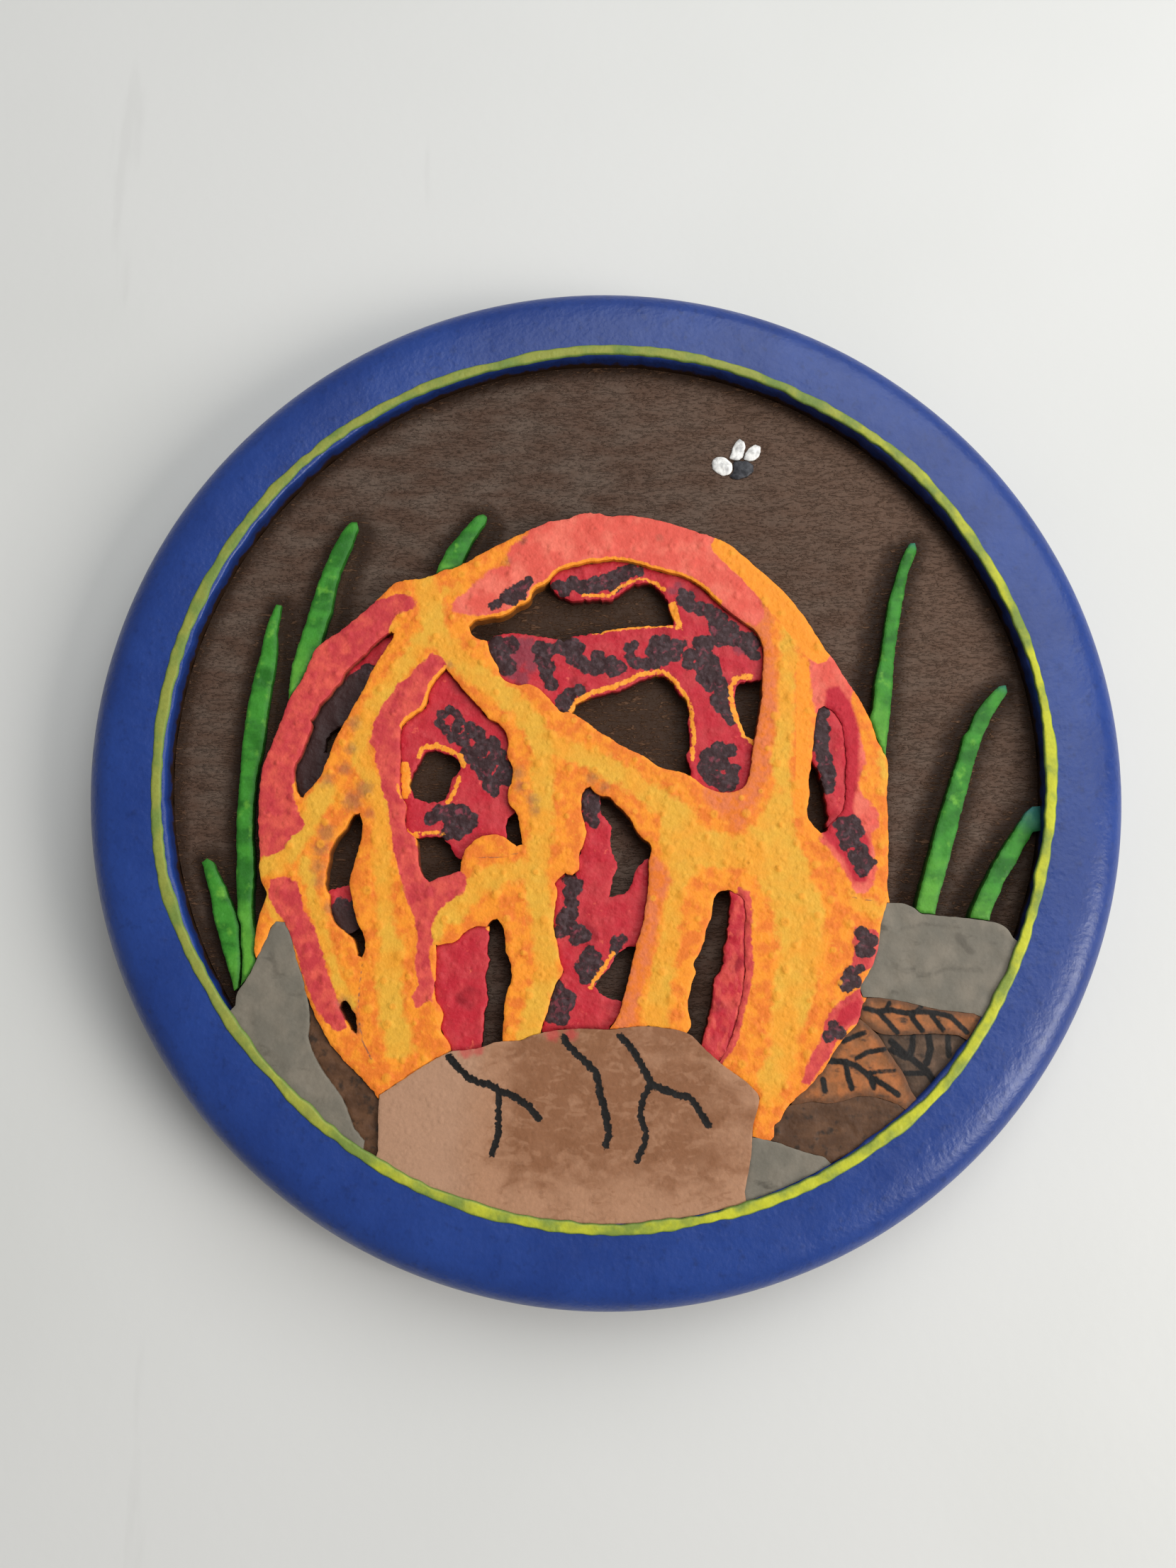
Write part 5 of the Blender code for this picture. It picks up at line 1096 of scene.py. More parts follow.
def stone_paint():
    """Mottled grey with a few darker strokes."""
    paint = Paint("stone_paint")
    cloud = paint.noise(3.2, 5.0, seed=61.0)
    colour = paint.blend(cloud, 0.35, 0.7, STONE, PALE_STONE)
    dragged = paint.noise(1.6, 5.0, stretch=(0.5, 1.0, 1.0), seed=62.0)
    colour = paint.blend(dragged, 0.58, 0.75, colour, DARK_STONE)
    colour = paint.wash(paint.mark("stroke", 0.9, 0.35, 0.5, 63.0), 0.55, colour, DARK_STONE)
    fine = paint.noise(0.4, 4.0, seed=64.0)
    colour = paint.grain(colour, fine, 0.25, 0.88)
    colour = paint.side_shade(colour, EARTH_SHADE)
    return paint.finish(colour, paint.sum((fine, 0.25), 0.42), paint.brushed(65.0), 0.06)


def leaf_paint(name, base, patch, dark, seed):
    """Brown leaf with brighter patches between dark painted veins."""
    paint = Paint(name)
    cloud = paint.noise(1.5, 4.0, seed=seed)
    colour = paint.blend(cloud, 0.42, 0.6, base, patch)
    dragged = paint.noise(1.0, 4.0, stretch=(0.5, 1.0, 1.0), seed=seed + 1)
    colour = paint.blend(dragged, 0.56, 0.72, colour, dark)
    edge = paint.sum(paint.field("edge"), (paint.noise(0.8, 3.0, seed=seed + 2), -1.0), 0.5)
    colour = paint.wash(paint.fade(edge, 1.1, 0.1), 0.7, colour, dark)
    colour = paint.mix(paint.mark("vein", 0.3, 0.12, 0.4, seed + 3), colour, CHARCOAL)
    fine = paint.noise(0.35, 4.0, seed=seed + 4)
    colour = paint.grain(colour, fine, 0.4, 0.8)
    colour = paint.side_shade(colour, EARTH_SHADE)
    return paint.finish(colour, paint.sum((fine, 0.25), 0.42), paint.brushed(seed + 5), 0.09)


def soil_paint():
    """Streaky dark earth."""
    paint = Paint("soil_paint")
    streak = paint.noise(1.5, 5.0, stretch=(0.4, 1.0, 1.0), seed=81.0)
    colour = paint.blend(streak, 0.35, 0.7, SOIL, SOIL_LIGHT)
    colour = paint.blend(paint.noise(1.1, 4.0, seed=82.0), 0.52, 0.7, colour, SHADE_DARK)
    fine = paint.noise(0.35, 4.0, seed=83.0)
    colour = paint.grain(colour, fine, 0.4, 0.8)
    colour = paint.side_shade(colour, EARTH_SHADE)
    return paint.finish(colour, paint.sum((fine, 0.25), 0.45), paint.brushed(84.0), 0.10)


def grass_paint():
    """Green with bands across the blade where the brush stopped and started."""
    paint = Paint("grass_paint")
    band = paint.noise(2.2, 3.0, stretch=(0.5, 1.0, 1.0), seed=91.0)
    colour = paint.blend(band, 0.36, 0.6, DARK_GREEN, GREEN)
    colour = paint.blend(paint.noise(1.6, 4.0, seed=92.0), 0.55, 0.75, colour, LIGHT_GREEN)
    foot = paint.sum(paint.field("foot"), (band, 0.5), -0.25)
    colour = paint.wash(paint.fade(foot, 0.7, 1.05), 0.7, colour, LIGHT_GREEN)
    edge = paint.sum(paint.field("edge"), (paint.noise(0.5, 3.0, seed=93.0), -0.5), 0.25)
    colour = paint.wash(paint.fade(edge, 0.4, 0.05), 0.6, colour, DARK_GREEN)
    colour = paint.wash(paint.fade(paint.field("blue"), 0.0, 1.0), 0.7, colour, BLUE_GREEN)
    fine = paint.noise(0.3, 4.0, seed=94.0)
    colour = paint.grain(colour, fine, 0.4, 0.8)
    colour = paint.side_shade(colour, GREEN_SHADE, 0.85)
    return paint.finish(colour, paint.sum((fine, 0.25), 0.38), paint.brushed(95.0), 0.09)


def fly_paint(name, base, shade, seed):
    """A few thick dabs of one colour."""
    paint = Paint(name)
    colour = paint.blend(paint.noise(0.7, 3.0, seed=seed), 0.4, 0.7, base, shade)
    colour = paint.grain(colour, paint.noise(0.3, 3.0, seed=seed + 1), 0.2, 0.9)
    return paint.finish(colour, 0.42, paint.brushed(seed + 2), 0.08)


def rim_paint():
    """Blue brushed round the rim, darkened down the dish wall as painted shade, over bare wood on the back.
    """
    paint = Paint("rim_paint")
    cloud = paint.noise(9.0, 3.0, seed=101.0)
    colour = paint.blend(cloud, 0.35, 0.7, BLUE, LIGHT_BLUE)
    streak = paint.noise(1.0, 5.0, seed=102.0)
    colour = paint.wash(paint.fade(streak, 0.52, 0.78), 0.6, colour, DEEP_BLUE)
    # Painted shade: the dish wall darkens to deep blue and then near-black brown towards its foot.
    deep = paint.sum(paint.field("wall"), (paint.noise(1.2, 4.0, seed=103.0), 0.8), -0.4)
    colour = paint.blend(deep, 0.2, 0.6, colour, DEEP_BLUE)
    colour = paint.blend(deep, 0.70, 0.95, colour, EARTH_SHADE)
    fine = paint.noise(0.5, 4.0, seed=104.0)
    colour = paint.grain(colour, fine, 0.2, 0.9)
    grain = paint.noise(6.0, 4.0, stretch=(1.0, 0.08, 1.0), seed=105.0)
    rings = paint.calc("SINE", paint.calc("MULTIPLY", grain, 40.0))
    wood = paint.blend(rings, -0.6, 1.0, BARE_WOOD, BARE_GRAIN)
    wood = paint.grain(wood, paint.noise(1.0, 4.0, stretch=(1.0, 0.05, 1.0), seed=106.0), 0.3, 0.85)
    lap = paint.sum(paint.field("back"), (paint.noise(3.0, 4.0, seed=107.0), 3.0), -1.5)
    colour = paint.blend(lap, -0.1, 0.1, colour, wood)
    pits = paint.fade(paint.cells(0.9, seed=108.0), 0.0, 0.5)
    height = paint.sum((fine, 0.35), (streak, 0.35), (pits, 0.12), (paint.noise(3.4, 2.0, seed=109.0), 1.1))
    roughness = paint.sum((paint.noise(1.2, 4.0, seed=110.0), 0.24), 0.24)
    return paint.finish(colour, roughness, height, 0.13, gloss=0.36)


def line_paint():
    """Yellow-green line: brighter on the key light's side as painted light, green where blue shows through.
    """
    paint = Paint("line_paint")
    thin = paint.noise(4.5, 6.0, seed=121.0)
    # Painted light: the line turns brighter yellow towards the lower right, the side of the key light.
    lit_side = paint.sum(paint.field("lit_side"), (paint.noise(4.0, 3.0, seed=120.0), 1.6), -0.8)
    body = paint.blend(lit_side, -0.3, 0.7, LINE_YELLOW, LINE_BRIGHT)
    colour = paint.wash(paint.fade(thin, 0.43, 0.62), 0.85, body, LINE_GREEN)
    colour = paint.blend(paint.field("margin"), 0.35, 0.02, colour, LINE_GREEN)
    colour = paint.grain(colour, paint.noise(0.5, 4.0, seed=122.0), 0.4, 0.8)
    return paint.finish(colour, 0.45, paint.brushed(123.0), 0.09)


def table_paint():
    """Off-white table top, faintly scuffed."""
    paint = Paint("table_paint")
    cloud = paint.noise(60.0, 3.0, seed=131.0)
    colour = paint.blend(cloud, 0.3, 0.75, TABLE_TOP, TABLE_SHADE)
    scuff = paint.noise(9.0, 6.0, stretch=(1.0, 0.12, 1.0), seed=132.0)
    colour = paint.wash(paint.fade(scuff, 0.66, 0.72), 0.35, colour, TABLE_SCUFF)
    return paint.finish(colour, 0.5, paint.noise(1.5, 3.0, seed=133.0), 0.02, gloss=0.3)


# ---------------------------------------------------------------- the pieces


def edge_drop(edge, drop, width):
    """How far a rounded edge falls below the flat, by the distance from it."""
    return drop * np.clip(1 - edge / width, 0, 1) ** 2


def mark_sides(thing, loops, level=None):
    """Store how far each wall vertex lies below a level, and each vertex's distance to the edge."""
    points = all_points(thing)
    if level is None:
        level = np.percentile(points[:, 2], 80) - SIDE_START
    edge = distance_to(points[:, :2], loop_segments(loops))
    set_field(thing, "drop", np.where(edge < WALL_WIDTH, np.maximum(level - points[:, 2], 0), 0))
    set_field(thing, "edge", edge)


def lattice_dots():
    """Centres of the small round marks that a stylus left all over the lattice."""
    rng = np.random.default_rng(11)
    columns = np.arange(-44.0, 38.0, DOT_PITCH[0])
    rows = np.arange(-44.0, 34.0, DOT_PITCH[1])
    x, y = np.meshgrid(columns, rows)
    x = x + (np.arange(len(rows)) % 2)[:, None] * DOT_PITCH[0] / 2
    dots = np.stack([x.ravel(), y.ravel()], axis=1)
    return dots + rng.uniform(-0.9, 0.9, dots.shape)


def circle(count):
    """Points evenly round a circle of radius 1, anticlockwise from +X."""
    angle = np.arange(count) / count * 2 * math.pi
    return np.stack([np.cos(angle), np.sin(angle)], axis=1)


def dot_profile(points, dots, sizes):
    """Two numbers for each point: how much of a raised dot it has, and how much of its pit."""
    raised = np.zeros(len(points))
    pit = np.zeros(len(points))
    for first in range(0, len(points), BLOCK):
        block = slice(first, first + BLOCK)
        away = np.sqrt(((points[block, None, :] - dots) ** 2).sum(axis=2)) / sizes
        which = away.argmin(axis=1)
        near = away.min(axis=1)
        raised[block] = np.clip(1 - near**2, 0, 1)
        pit[block] = np.where(which % 3 == 0, np.exp(-((near / 0.36) ** 2)), 0)
    return raised, pit


def make_lattice(material):
    """The lattice, dimpled all over, with rounded cut edges."""
    loops = piece_loops("fungus_net", seed=31)
    segments = loop_segments(loops)
    dots = lattice_dots()
    dots = dots[inside(dots, segments)]
    dots = dots[distance_to(dots, segments) > 0.6]
    sizes = np.random.default_rng(12).uniform(*DOT_SIZES, len(dots))
    around = np.concatenate([circle(count) * radius for radius, count in DOT_RINGS])
    extra = (dots[:, None, :] + around[None]).reshape(-1, 2)

    def top(points, edge):
        raised, pit = dot_profile(points, dots, sizes)
        wave = ripple(points, 6.0, 41) * 0.035 + ripple(points, 1.7, 42) * 0.02
        carved = facets(points, 2.2, 43) * 0.02
        return LATTICE_TOP + wave + carved + raised * 0.16 - pit * 0.14 - edge_drop(edge, 0.10, 0.28)

    thing = relief_mesh("lattice", loops, top, spacing=0.42, seed=32, extra=extra)
    points = flat_points(thing)
    raised, pit = dot_profile(points, dots, sizes)
    set_field(thing, "dot", raised)
    set_field(thing, "pit", pit)
    yellow = np.maximum(area_field(points, YELLOW_AREAS), stroke_field(points, YELLOW_STROKES))
    set_field(thing, "yellow", yellow)
    set_field(thing, "amber", stroke_field(points, AMBER_STROKES))
    areas = {"peach": PEACH_AREAS, "coral": CORAL_AREAS, "rose": ROSE_AREAS, "crimson": CRIMSON_AREAS}
    for field, outlines in areas.items():
        set_field(thing, field, area_field(points, outlines))
    set_field(thing, "seam", stroke_field(points, SEAM_STROKES))
    set_field(thing, "smudge", dab_field(points, SMUDGES))
    set_field(thing, "dab", dab_field(points, LATTICE_DABS))
    near_edge = LATTICE_LIP - distance_to(points, segments)
    set_field(thing, "lip", np.minimum(near_edge, stroke_field(points, EDGE_STROKES)))
    mark_sides(thing, loops)
    show(thing, ["fungus_net"], material)


# Dabs and top of each part of the inner layer, coral scrubbed over it, and how far up (Y) it is stained.
GLEBA_PLAN = {
    "gleba_upper": (UPPER_DABS, 11.55), "gleba_left": (LEFT_DABS, 11.55),
    "gleba_crescent": (CRESCENT_DABS, 11.10), "gleba_spindle": (SPINDLE_DABS, 11.30),
    "gleba_lower_left": (NO_DABS, 11.90), "gleba_centre": (CENTRE_DABS, 11.55),
    "gleba_lower_right": (NO_DABS, 12.18), "gleba_right": (RIGHT_DABS, 12.20),
}
GLEBA_WARMTH = {"gleba_lower_right": 0.6}
GLEBA_STAINS = {"gleba_crescent": 11.5, "gleba_spindle": -17.0}
NO_STAIN = -1e3


def make_gleba(material):
    """The inner layer, hacked out with a knife below the lattice."""
    for seed, (node, (dabs, level)) in enumerate(GLEBA_PLAN.items(), 60):
        loops = piece_loops(node, grow=0.20, rough=0.075, seed=seed)

        def top(points, edge, level=level, seed=seed):
            cuts = facets(points, 1.6, seed) * 0.05 + ripple(points, 2.2, seed + 1) * 0.045
            return level + cuts - edge_drop(edge, 0.12, 0.3)

        thing = relief_mesh(f"inner_{node}", loops, top, spacing=FINE, seed=seed)
        points = flat_points(thing)
        set_field(thing, "dab", dab_field(points, dabs))
        set_field(thing, "haze", dab_field(points, UPPER_HAZE_DABS))
        set_field(thing, "warm", np.full(len(points), GLEBA_WARMTH.get(node, 0.0)))
        set_field(thing, "lip", stroke_field(points, LIP_STROKES))
        stained_below = GLEBA_STAINS.get(node, NO_STAIN)
        set_field(thing, "deep", (stained_below - points[:, 1]) * 0.35)
        mark_sides(thing, loops)
        show(thing, [node], material)


# Where the sac's tan turns pink to the left and brown to the right (X), and pale again at the lower
# edge (Y) and at the far right (X).
SAC_PINK = -10.0
SAC_BROWN = -13.0
SAC_RIGHT = 9.0
SAC_LOW = -45.0


def make_volva(material):
    """The torn sac, nearly flat, with scored cracks."""
    loops = piece_loops("volva", rough=0.02, seed=81)

    def top(points, edge):
        scored = np.clip(stroke_field(points, CRACKS), 0, 0.4) * 0.16
        wave = ripple(points, 5.0, 82) * 0.04 + ripple(points, 1.6, 83, (0.5, 1.0)) * 0.02
        return SAC_TOP + wave - scored - edge_drop(edge, 0.05, 0.25)

    thing = relief_mesh("sac", loops, top, spacing=FINE, seed=84)
    points = flat_points(thing)
    x, y = points.T
    set_field(thing, "crack", stroke_field(points, CRACKS))
    set_field(thing, "pink", SAC_PINK - x + 0.12 * y)
    paler = np.maximum(SAC_LOW - y, 0) * 0.7 + np.maximum(x - SAC_RIGHT, 0) * 0.35
    set_field(thing, "brown", np.minimum(x - SAC_BROWN, 3.0) - paler)
    set_field(thing, "rim_red", dab_field(points, RED_SPOTS))
    mark_sides(thing, loops)
    show(thing, ["volva"], material)


# Spacing and height of the knife cuts.
FAINT_CUTS = (2.2, 0.03)
CLOSE_CUTS = (1.2, 0.06)
ROUGH_CUTS = (1.4, 0.05)

# CAD node, slot, top, seed and knife cuts of each plain plate, by piece name.
PLATES = {
    "stone_left": ("rock_left", "stone_paint", 12.28, 201, FAINT_CUTS),
    "stone_right": ("rock_right", "stone_paint", 12.28, 203, FAINT_CUTS),
    "stone_bottom": ("rock_bottom", "stone_paint", 12.28, 205, FAINT_CUTS),
    "leaf_high": ("leaf_upper", "leaf_paint", 12.18, 207, FAINT_CUTS),
    "leaf_low": ("leaf_lower", "leaf_paint", 12.30, 209, FAINT_CUTS),
    "leaf_shade": ("leaf_shadowed", "leaf_shadow_paint", 11.9, 211, FAINT_CUTS),
    "earth_left": ("soil_left", "soil_paint", 11.9, 213, CLOSE_CUTS),
    "earth_right": ("soil_right", "soil_paint", 12.2, 215, ROUGH_CUTS),
}

# The marks on a plate: the field that holds them, and the strokes.
PLATE_MARKS = {
    "stone_left": ("stroke", STONE_STROKES), "stone_right": ("stroke", STONE_STROKES),
    "stone_bottom": ("stroke", STONE_STROKES), "leaf_high": ("vein", UPPER_VEINS),
    "leaf_low": ("vein", LOWER_VEINS), "leaf_shade": ("vein", SHADOWED_VEINS),
}


def make_plates():
    """Plain carved regions: stones, leaves and earth."""
    materials = {
        "stone_paint": stone_paint(),
        "leaf_paint": leaf_paint("leaf_paint", LEAF, LEAF_ORANGE, LEAF_DARK, 71.0),
        "leaf_shadow_paint": leaf_paint("leaf_shadow_paint", SHADE_BROWN, PALE_SHADE, SHADE_DARK, 76.0),
        "soil_paint": soil_paint(),
    }
    for name, (node, slot, level, seed, cuts) in PLATES.items():
        loops = piece_loops(node, rough=0.02, seed=seed)

        def top(points, edge, level=level, seed=seed, cuts=cuts):
            carved = facets(points, cuts[0], seed) * cuts[1] + ripple(points, 3.0, seed + 1) * 0.035
            return level + carved - edge_drop(edge, 0.05, 0.25)

        thing = relief_mesh(name, loops, top, spacing=FINE, seed=seed)
        if name in PLATE_MARKS:
            field, strokes = PLATE_MARKS[name]
            set_field(thing, field, stroke_field(flat_points(thing), strokes))
        mark_sides(thing, loops)
        show(thing, [node], materials[slot])


# Foot and tip of each blade.
BLADE_ENDS = {
    "grass_blade_short_left": ((-43.6, -27.0), (-48.3, -11.6)),
    "grass_blade_long_left": ((-42.3, -25.0), (-41.0, 20.4)),
    "grass_blade_upper_left": ((-38.5, 9.0), (-31.9, 31.3)),
    "grass_blade_top": ((-20.0, 24.2), (-15.6, 32.3)),
    "grass_blade_upper_right": ((33.4, 2.0), (38.9, 28.6)),
    "grass_blade_right": ((37.7, -18.4), (49.4, 10.0)),
    "grass_blade_low_right": ((44.2, -19.2), (52.6, -5.0)),
}

# Where along a blade, from 0 at its foot to 1 at its tip, bluish paint starts, and how fast it comes in.
BLUE_TIPS = {
    "grass_blade_upper_right": (0.95, 12), "grass_blade_right": (0.95, 12),
    "grass_blade_low_right": (0.72, 4),
}

# Heights of a blade, and where its painted shadow lies beside it on the ground: to the left of the blades on
# the right side of the plaque, and to the right of those on the left side.
BLADE_TIP = 10.55
BLADE_FOOT = 11.95
BLADE_SHADOW_SHIFT = np.array([[-1.7, -0.6], [1.3, -0.9]])


def make_grass(material):
    """Seven blades that rise from their tips to their feet, rounded across."""
    for seed, (node, (foot, tip)) in enumerate(BLADE_ENDS.items(), 230):
        loops = piece_loops(node, grow=-0.02, rough=0.03, seed=seed)
        foot, tip = np.array(foot), np.array(tip)
        run = tip - foot

        def along(points, foot=foot, run=run):
            return ((points - foot) @ run) / (run @ run)

        def ramp(points, along=along):
            return BLADE_FOOT + (BLADE_TIP - BLADE_FOOT) * np.clip(along(points), 0, 1)

        def top(points, edge, ramp=ramp, seed=seed):
            return ramp(points) + ripple(points, 2.6, seed) * 0.05 - edge_drop(edge, 0.14, 0.4)

        thing = relief_mesh(node.replace("grass_", ""), loops, top, spacing=0.32, seed=seed)
        points = flat_points(thing)
        set_field(thing, "foot", 1 - along(points))
        start, rise = BLUE_TIPS.get(node, (0, 0))
        set_field(thing, "blue", (along(points) - start) * rise)
        mark_sides(thing, loops, ramp(points) - BLADE_SIDE_START)
        show(thing, [node], material)


# Slot of each part of the fly.
FLY_PARTS = {
    "fly_head": "fly_white_paint", "fly_left_wing": "fly_white_paint",
    "fly_right_wing": "fly_white_paint", "fly_body": "fly_dark_paint",
}
FLY_EDGE = 9.86
FLY_THICK = 0.28
FLY_SHOULDER = 0.8


def make_fly():
    """White head and wings, and a charcoal body, each one thick dab."""
    materials = {
        "fly_white_paint": fly_paint("fly_white_paint", WHITE, GREY_WHITE, 141.0),
        "fly_dark_paint": fly_paint("fly_dark_paint", INK, GREY_INK, 145.0),
    }
    for seed, (node, slot) in enumerate(FLY_PARTS.items(), 250):
        loops = piece_loops(node, grow=0.1, spacing=0.15, rough=0.03, seed=seed)

        def top(points, edge, seed=seed):
            dome = FLY_THICK * np.sqrt(np.clip(edge / FLY_SHOULDER, 0, 1))
            return FLY_EDGE + dome + ripple(points, 0.7, seed) * 0.03

        thing = relief_mesh(node.replace("fly_", "insect_"), loops, top, spacing=0.14, seed=seed, ring=0.06)
        show(thing, [node], materials[slot])


def make_ground(material):
    """The floor of the dish, scraped nearly flat."""
    loop = circle(GROUND_CORNERS) * DISH_RADIUS

    def top(points, edge):
        scraped = ripple(points, 2.4, 91, (0.35, 1.0)) * 0.025 + ripple(points, 9.0, 92) * 0.05
        return GROUND + scraped + facets(points, 3.4, 93) * 0.012

    thing = relief_mesh("ground", [loop], top, spacing=COARSE, foot=GROUND_FOOT, seed=94)
    points = flat_points(thing)
    # How deep in painted shade each point of the ground lies.
    set_field(thing, "near", painted_shade_depth(points))
    set_field(thing, "pale", (points[:, 0] + points[:, 1] * 0.8 - 20) / 60)
    show(thing, ["background_panel"], material)


def painted_shade_depth(points):
    """How deep in painted shade the ground lies: behind the lattice, beside a blade, in a blade's painted
    shadow, or at the wall.
    """
    segments = loop_segments([max(cad_loops("fungus_net"), key=len)])
    blades = [loop for node in BLADE_ENDS for loop in cad_loops(node)]
    around = distance_to(points, segments)
    near = np.where(inside(points, segments), 1.2, 0.2 - around * 0.9)
    near = np.maximum(near, 0.7 - distance_to(points, loop_segments(blades)) * 0.75)
    # The painted shadow of each blade: its outline shifted to one side.
    blade_shadows = [loop + np.where(loop[:1, :1] > 0, BLADE_SHADOW_SHIFT[0], BLADE_SHADOW_SHIFT[1]) for loop in blades]
    near = np.maximum(near, area_field(points, blade_shadows) * 0.8 + 0.4)
    radius = np.hypot(points[:, 0], points[:, 1])
    return np.maximum(near, 0.6 - (DISH_RADIUS - radius) * 0.9)


def ring_faces(segments, count):
    """Quads between the neighbouring sections of a turned piece, each with a count of points."""
    here = np.arange(segments)[:, None] * count + np.arange(count)[None]
    right = np.roll(here, -1, axis=0)
    faces = np.stack([here, right, np.roll(right, -1, axis=1), np.roll(here, -1, axis=1)], axis=2)
    return faces.reshape(-1, 4)


def close_middle(faces, count, bottom, floor):
    """Swap the quads between the profile's ends for fans to the middle of the back and of the floor."""
    closed = []
    for face in faces.tolist():
        if {face[0] % count, face[2] % count} == {count - 1, 0}:
            closed.append([face[1], face[0], floor])
            closed.append([face[3], face[2], bottom])
        else:
            closed.append(face)
    return closed


def hand_turned(radius, height, turn):
    """Make a turned rim slightly uneven, and its wall hand-cut."""
    place = np.stack([(radius * np.cos(turn)).ravel(), (radius * np.sin(turn)).ravel()], axis=1)
    broad = ripple(place, 26.0, 301).reshape(radius.shape)
    small = ripple(place, 3.2, 302).reshape(radius.shape)
    wall = (np.abs(radius - 53.1) < 0.3) & (height < 12.55) & (height > 9.0)
    outer = (radius > 57) & (height > 0.3)
    radius = radius + np.where(wall, small * 0.10, 0.0) - np.where(outer, 0.02 + broad * 0.018, 0.0)
    height = height - np.where(height > 12.4, 0.03 + broad * 0.02 + small * 0.012, 0.0)
    return radius, height


def rim_profile():
    """Half section of the disc from the middle of its back to the floor under the picture."""
    def arc(centre, size, first, last, steps, power):
        made = []
        for angle in np.radians(np.linspace(first, last, steps)):
            across = abs(math.cos(angle)) ** (2 / power)
            up = math.copysign(abs(math.sin(angle)) ** (2 / power), angle)
            made.append((centre[0] + size[0] * across, centre[1] + size[1] * up))
        return made

    points = [(r, 0.0) for r in (2.0, 12.0, 24.0, 36.0, 46.0, 52.0, 56.0)]
    points += arc((58.5, 6.35), (4.97, 6.35), -90, 0, 13, 2.0)
    points += arc((56.0, 6.35), (7.47, 6.31), 0, 90, 25, 3.2)[1:]
    points += [(55.4, 12.65), (54.8, 12.63), (54.2, 12.60), (53.6, 12.57)]
    points += [(53.35, 12.50), (53.18, 12.38), (53.10, 12.2), (53.05, 11.6), (53.02, 10.9), (53.0, 10.2)]
    points += [(53.0, 9.5), (53.0, 8.75)] + [(r, RIM_FLOOR) for r in (46.0, 30.0, 14.0, 2.0)]
    return points


def make_rim(material):
    """The turned disc: a fat rounded rim and the wall of the dish, cut by hand."""
    profile = np.array(rim_profile())
    count = len(profile)
    radius, height = np.repeat(profile.T[:, None], RIM_SEGMENTS, axis=1)
    turn = np.repeat(np.arange(RIM_SEGMENTS)[:, None] / RIM_SEGMENTS * 2 * math.pi, count, axis=1)
    radius, height = hand_turned(radius, height, turn)
    verts = np.stack([radius * np.cos(turn), radius * np.sin(turn), height], axis=2).reshape(-1, 3)
    verts = np.concatenate([verts, [(0, 0, 0.0), (0, 0, RIM_FLOOR)]])
    faces = close_middle(ring_faces(RIM_SEGMENTS, count), count, len(verts) - 2, len(verts) - 1)
    thing = finished_mesh("rim", verts, faces, sharp=42)
    radius = np.hypot(verts[:, 0], verts[:, 1])
    height = verts[:, 2]
    # How far down the dish wall each point lies, for the painted shade there.
    set_field(thing, "wall", np.where((radius < 53.5) & (height > 8.6), (12.75 - height) / 2.6, 0))
    set_field(thing, "back", np.where(height < 2.0, 59.2 - radius - height * 2.5, -4.0))
    show(thing, ["disc_base"], material)


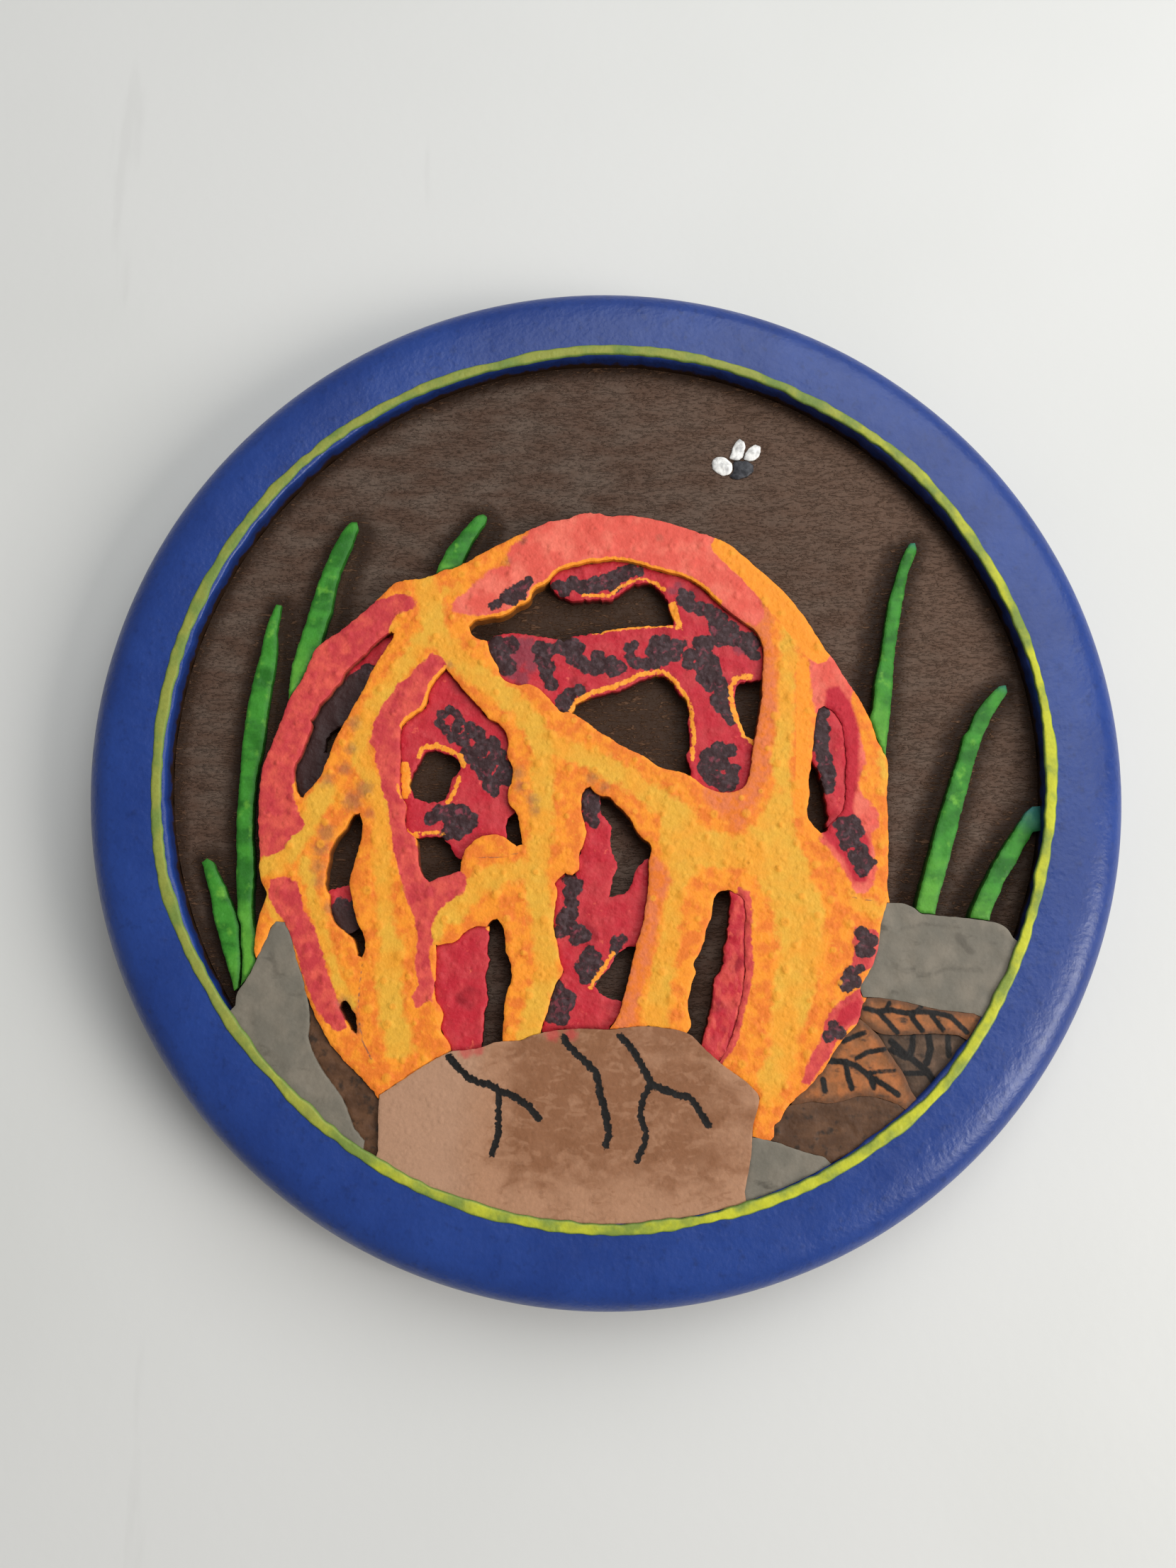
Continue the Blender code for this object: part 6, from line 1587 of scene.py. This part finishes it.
def make_line(material):
    """The painted line: a thin crowned band whose edges wander."""
    angle = np.arange(LINE_SEGMENTS) / LINE_SEGMENTS * 2 * math.pi
    ring = circle(LINE_SEGMENTS) * LINE_RADIUS
    step = len(LINE_MIDDLE) * angle / (2 * math.pi)
    wander = np.interp(step, np.arange(len(LINE_MIDDLE) + 1), LINE_MIDDLE + LINE_MIDDLE[:1])
    middle = wander + ripple(ring, 3.0, 322) * 0.06
    half = LINE_HALF_WIDTH + ripple(ring, 9.0, 323) * 0.10 + ripple(ring, 1.6, 324) * 0.06
    crown = LINE_CROWN + ripple(ring, 5.0, 325) * 0.012 + ripple(ring, 1.6, 326) * 0.012
    across = np.array([-1.0, -0.86, -0.5, 0.0, 0.5, 0.86, 1.0, 1.0, -1.0])
    level = np.array([0.0, 0.7, 0.95, 1.0, 0.95, 0.7, 0.0, -1.0, -1.0])
    radius = middle[:, None] + half[:, None] * across
    height = np.where(level >= 0, LINE_EDGE + (crown[:, None] - LINE_EDGE) * level, LINE_UNDER)
    x, y = circle(LINE_SEGMENTS).T[:, :, None] * radius
    verts = np.stack([x, y, height], axis=2).reshape(-1, 3)
    count = len(across)
    faces = np.roll(ring_faces(LINE_SEGMENTS, count)[:, ::-1], 1, axis=1)
    thing = finished_mesh("painted_line", verts, faces.tolist(), sharp=60)
    set_field(thing, "margin", np.tile(1 - np.abs(across), LINE_SEGMENTS))
    # Painted light: brighter towards the lower right, the side of the key light.
    set_field(thing, "lit_side", np.cos(angle + math.radians(40)).repeat(count))
    show(thing, ["rim_line"], material)


def add_light(name, place, size, power, colour):
    """A square soft light that faces the plaque."""
    light = bpy.data.lights.new(name, "AREA")
    light.size = size
    light.energy = power
    light.color = colour
    lamp = bpy.data.objects.new(name, light)
    lamp.location = place
    lamp.rotation_euler = Vector(place).to_track_quat("Z", "Y").to_euler()
    bpy.context.scene.collection.objects.link(lamp)


def make_setting():
    """Table, light and camera."""
    bpy.ops.mesh.primitive_plane_add(size=TABLE_SIDE)
    table = bpy.context.object
    table.name = "table_top"
    table.data.materials.append(table_paint())

    add_light("window", KEY_PLACE, KEY_SIZE, KEY_POWER, KEY_COLOUR)
    add_light("far_wall", FILL_PLACE, FILL_SIZE, FILL_POWER, FILL_COLOUR)
    world = bpy.data.worlds.new("room")
    world.use_nodes = True
    world.node_tree.nodes["Background"].inputs["Color"].default_value = (*ROOM_COLOUR, 1.0)
    world.node_tree.nodes["Background"].inputs["Strength"].default_value = AMBIENT
    bpy.context.scene.world = world
    bpy.context.scene.view_settings.view_transform = "Standard"

    lens = bpy.data.cameras.new("camera")
    lens.sensor_width = CAMERA_SENSOR
    lens.lens = CAMERA_LENS
    lens.clip_start = 0.005
    camera = bpy.data.objects.new("camera", lens)
    camera.location = Vector(CAMERA_PLACE) * MM
    camera.rotation_euler = [math.radians(angle) for angle in CAMERA_TILT]
    bpy.context.scene.collection.objects.link(camera)
    bpy.context.scene.camera = camera


make_setting()
make_rim(rim_paint())
make_line(line_paint())
make_ground(ground_paint())
make_lattice(lattice_paint())
make_gleba(gleba_paint())
make_volva(volva_paint())
make_plates()
make_grass(grass_paint())
make_fly()
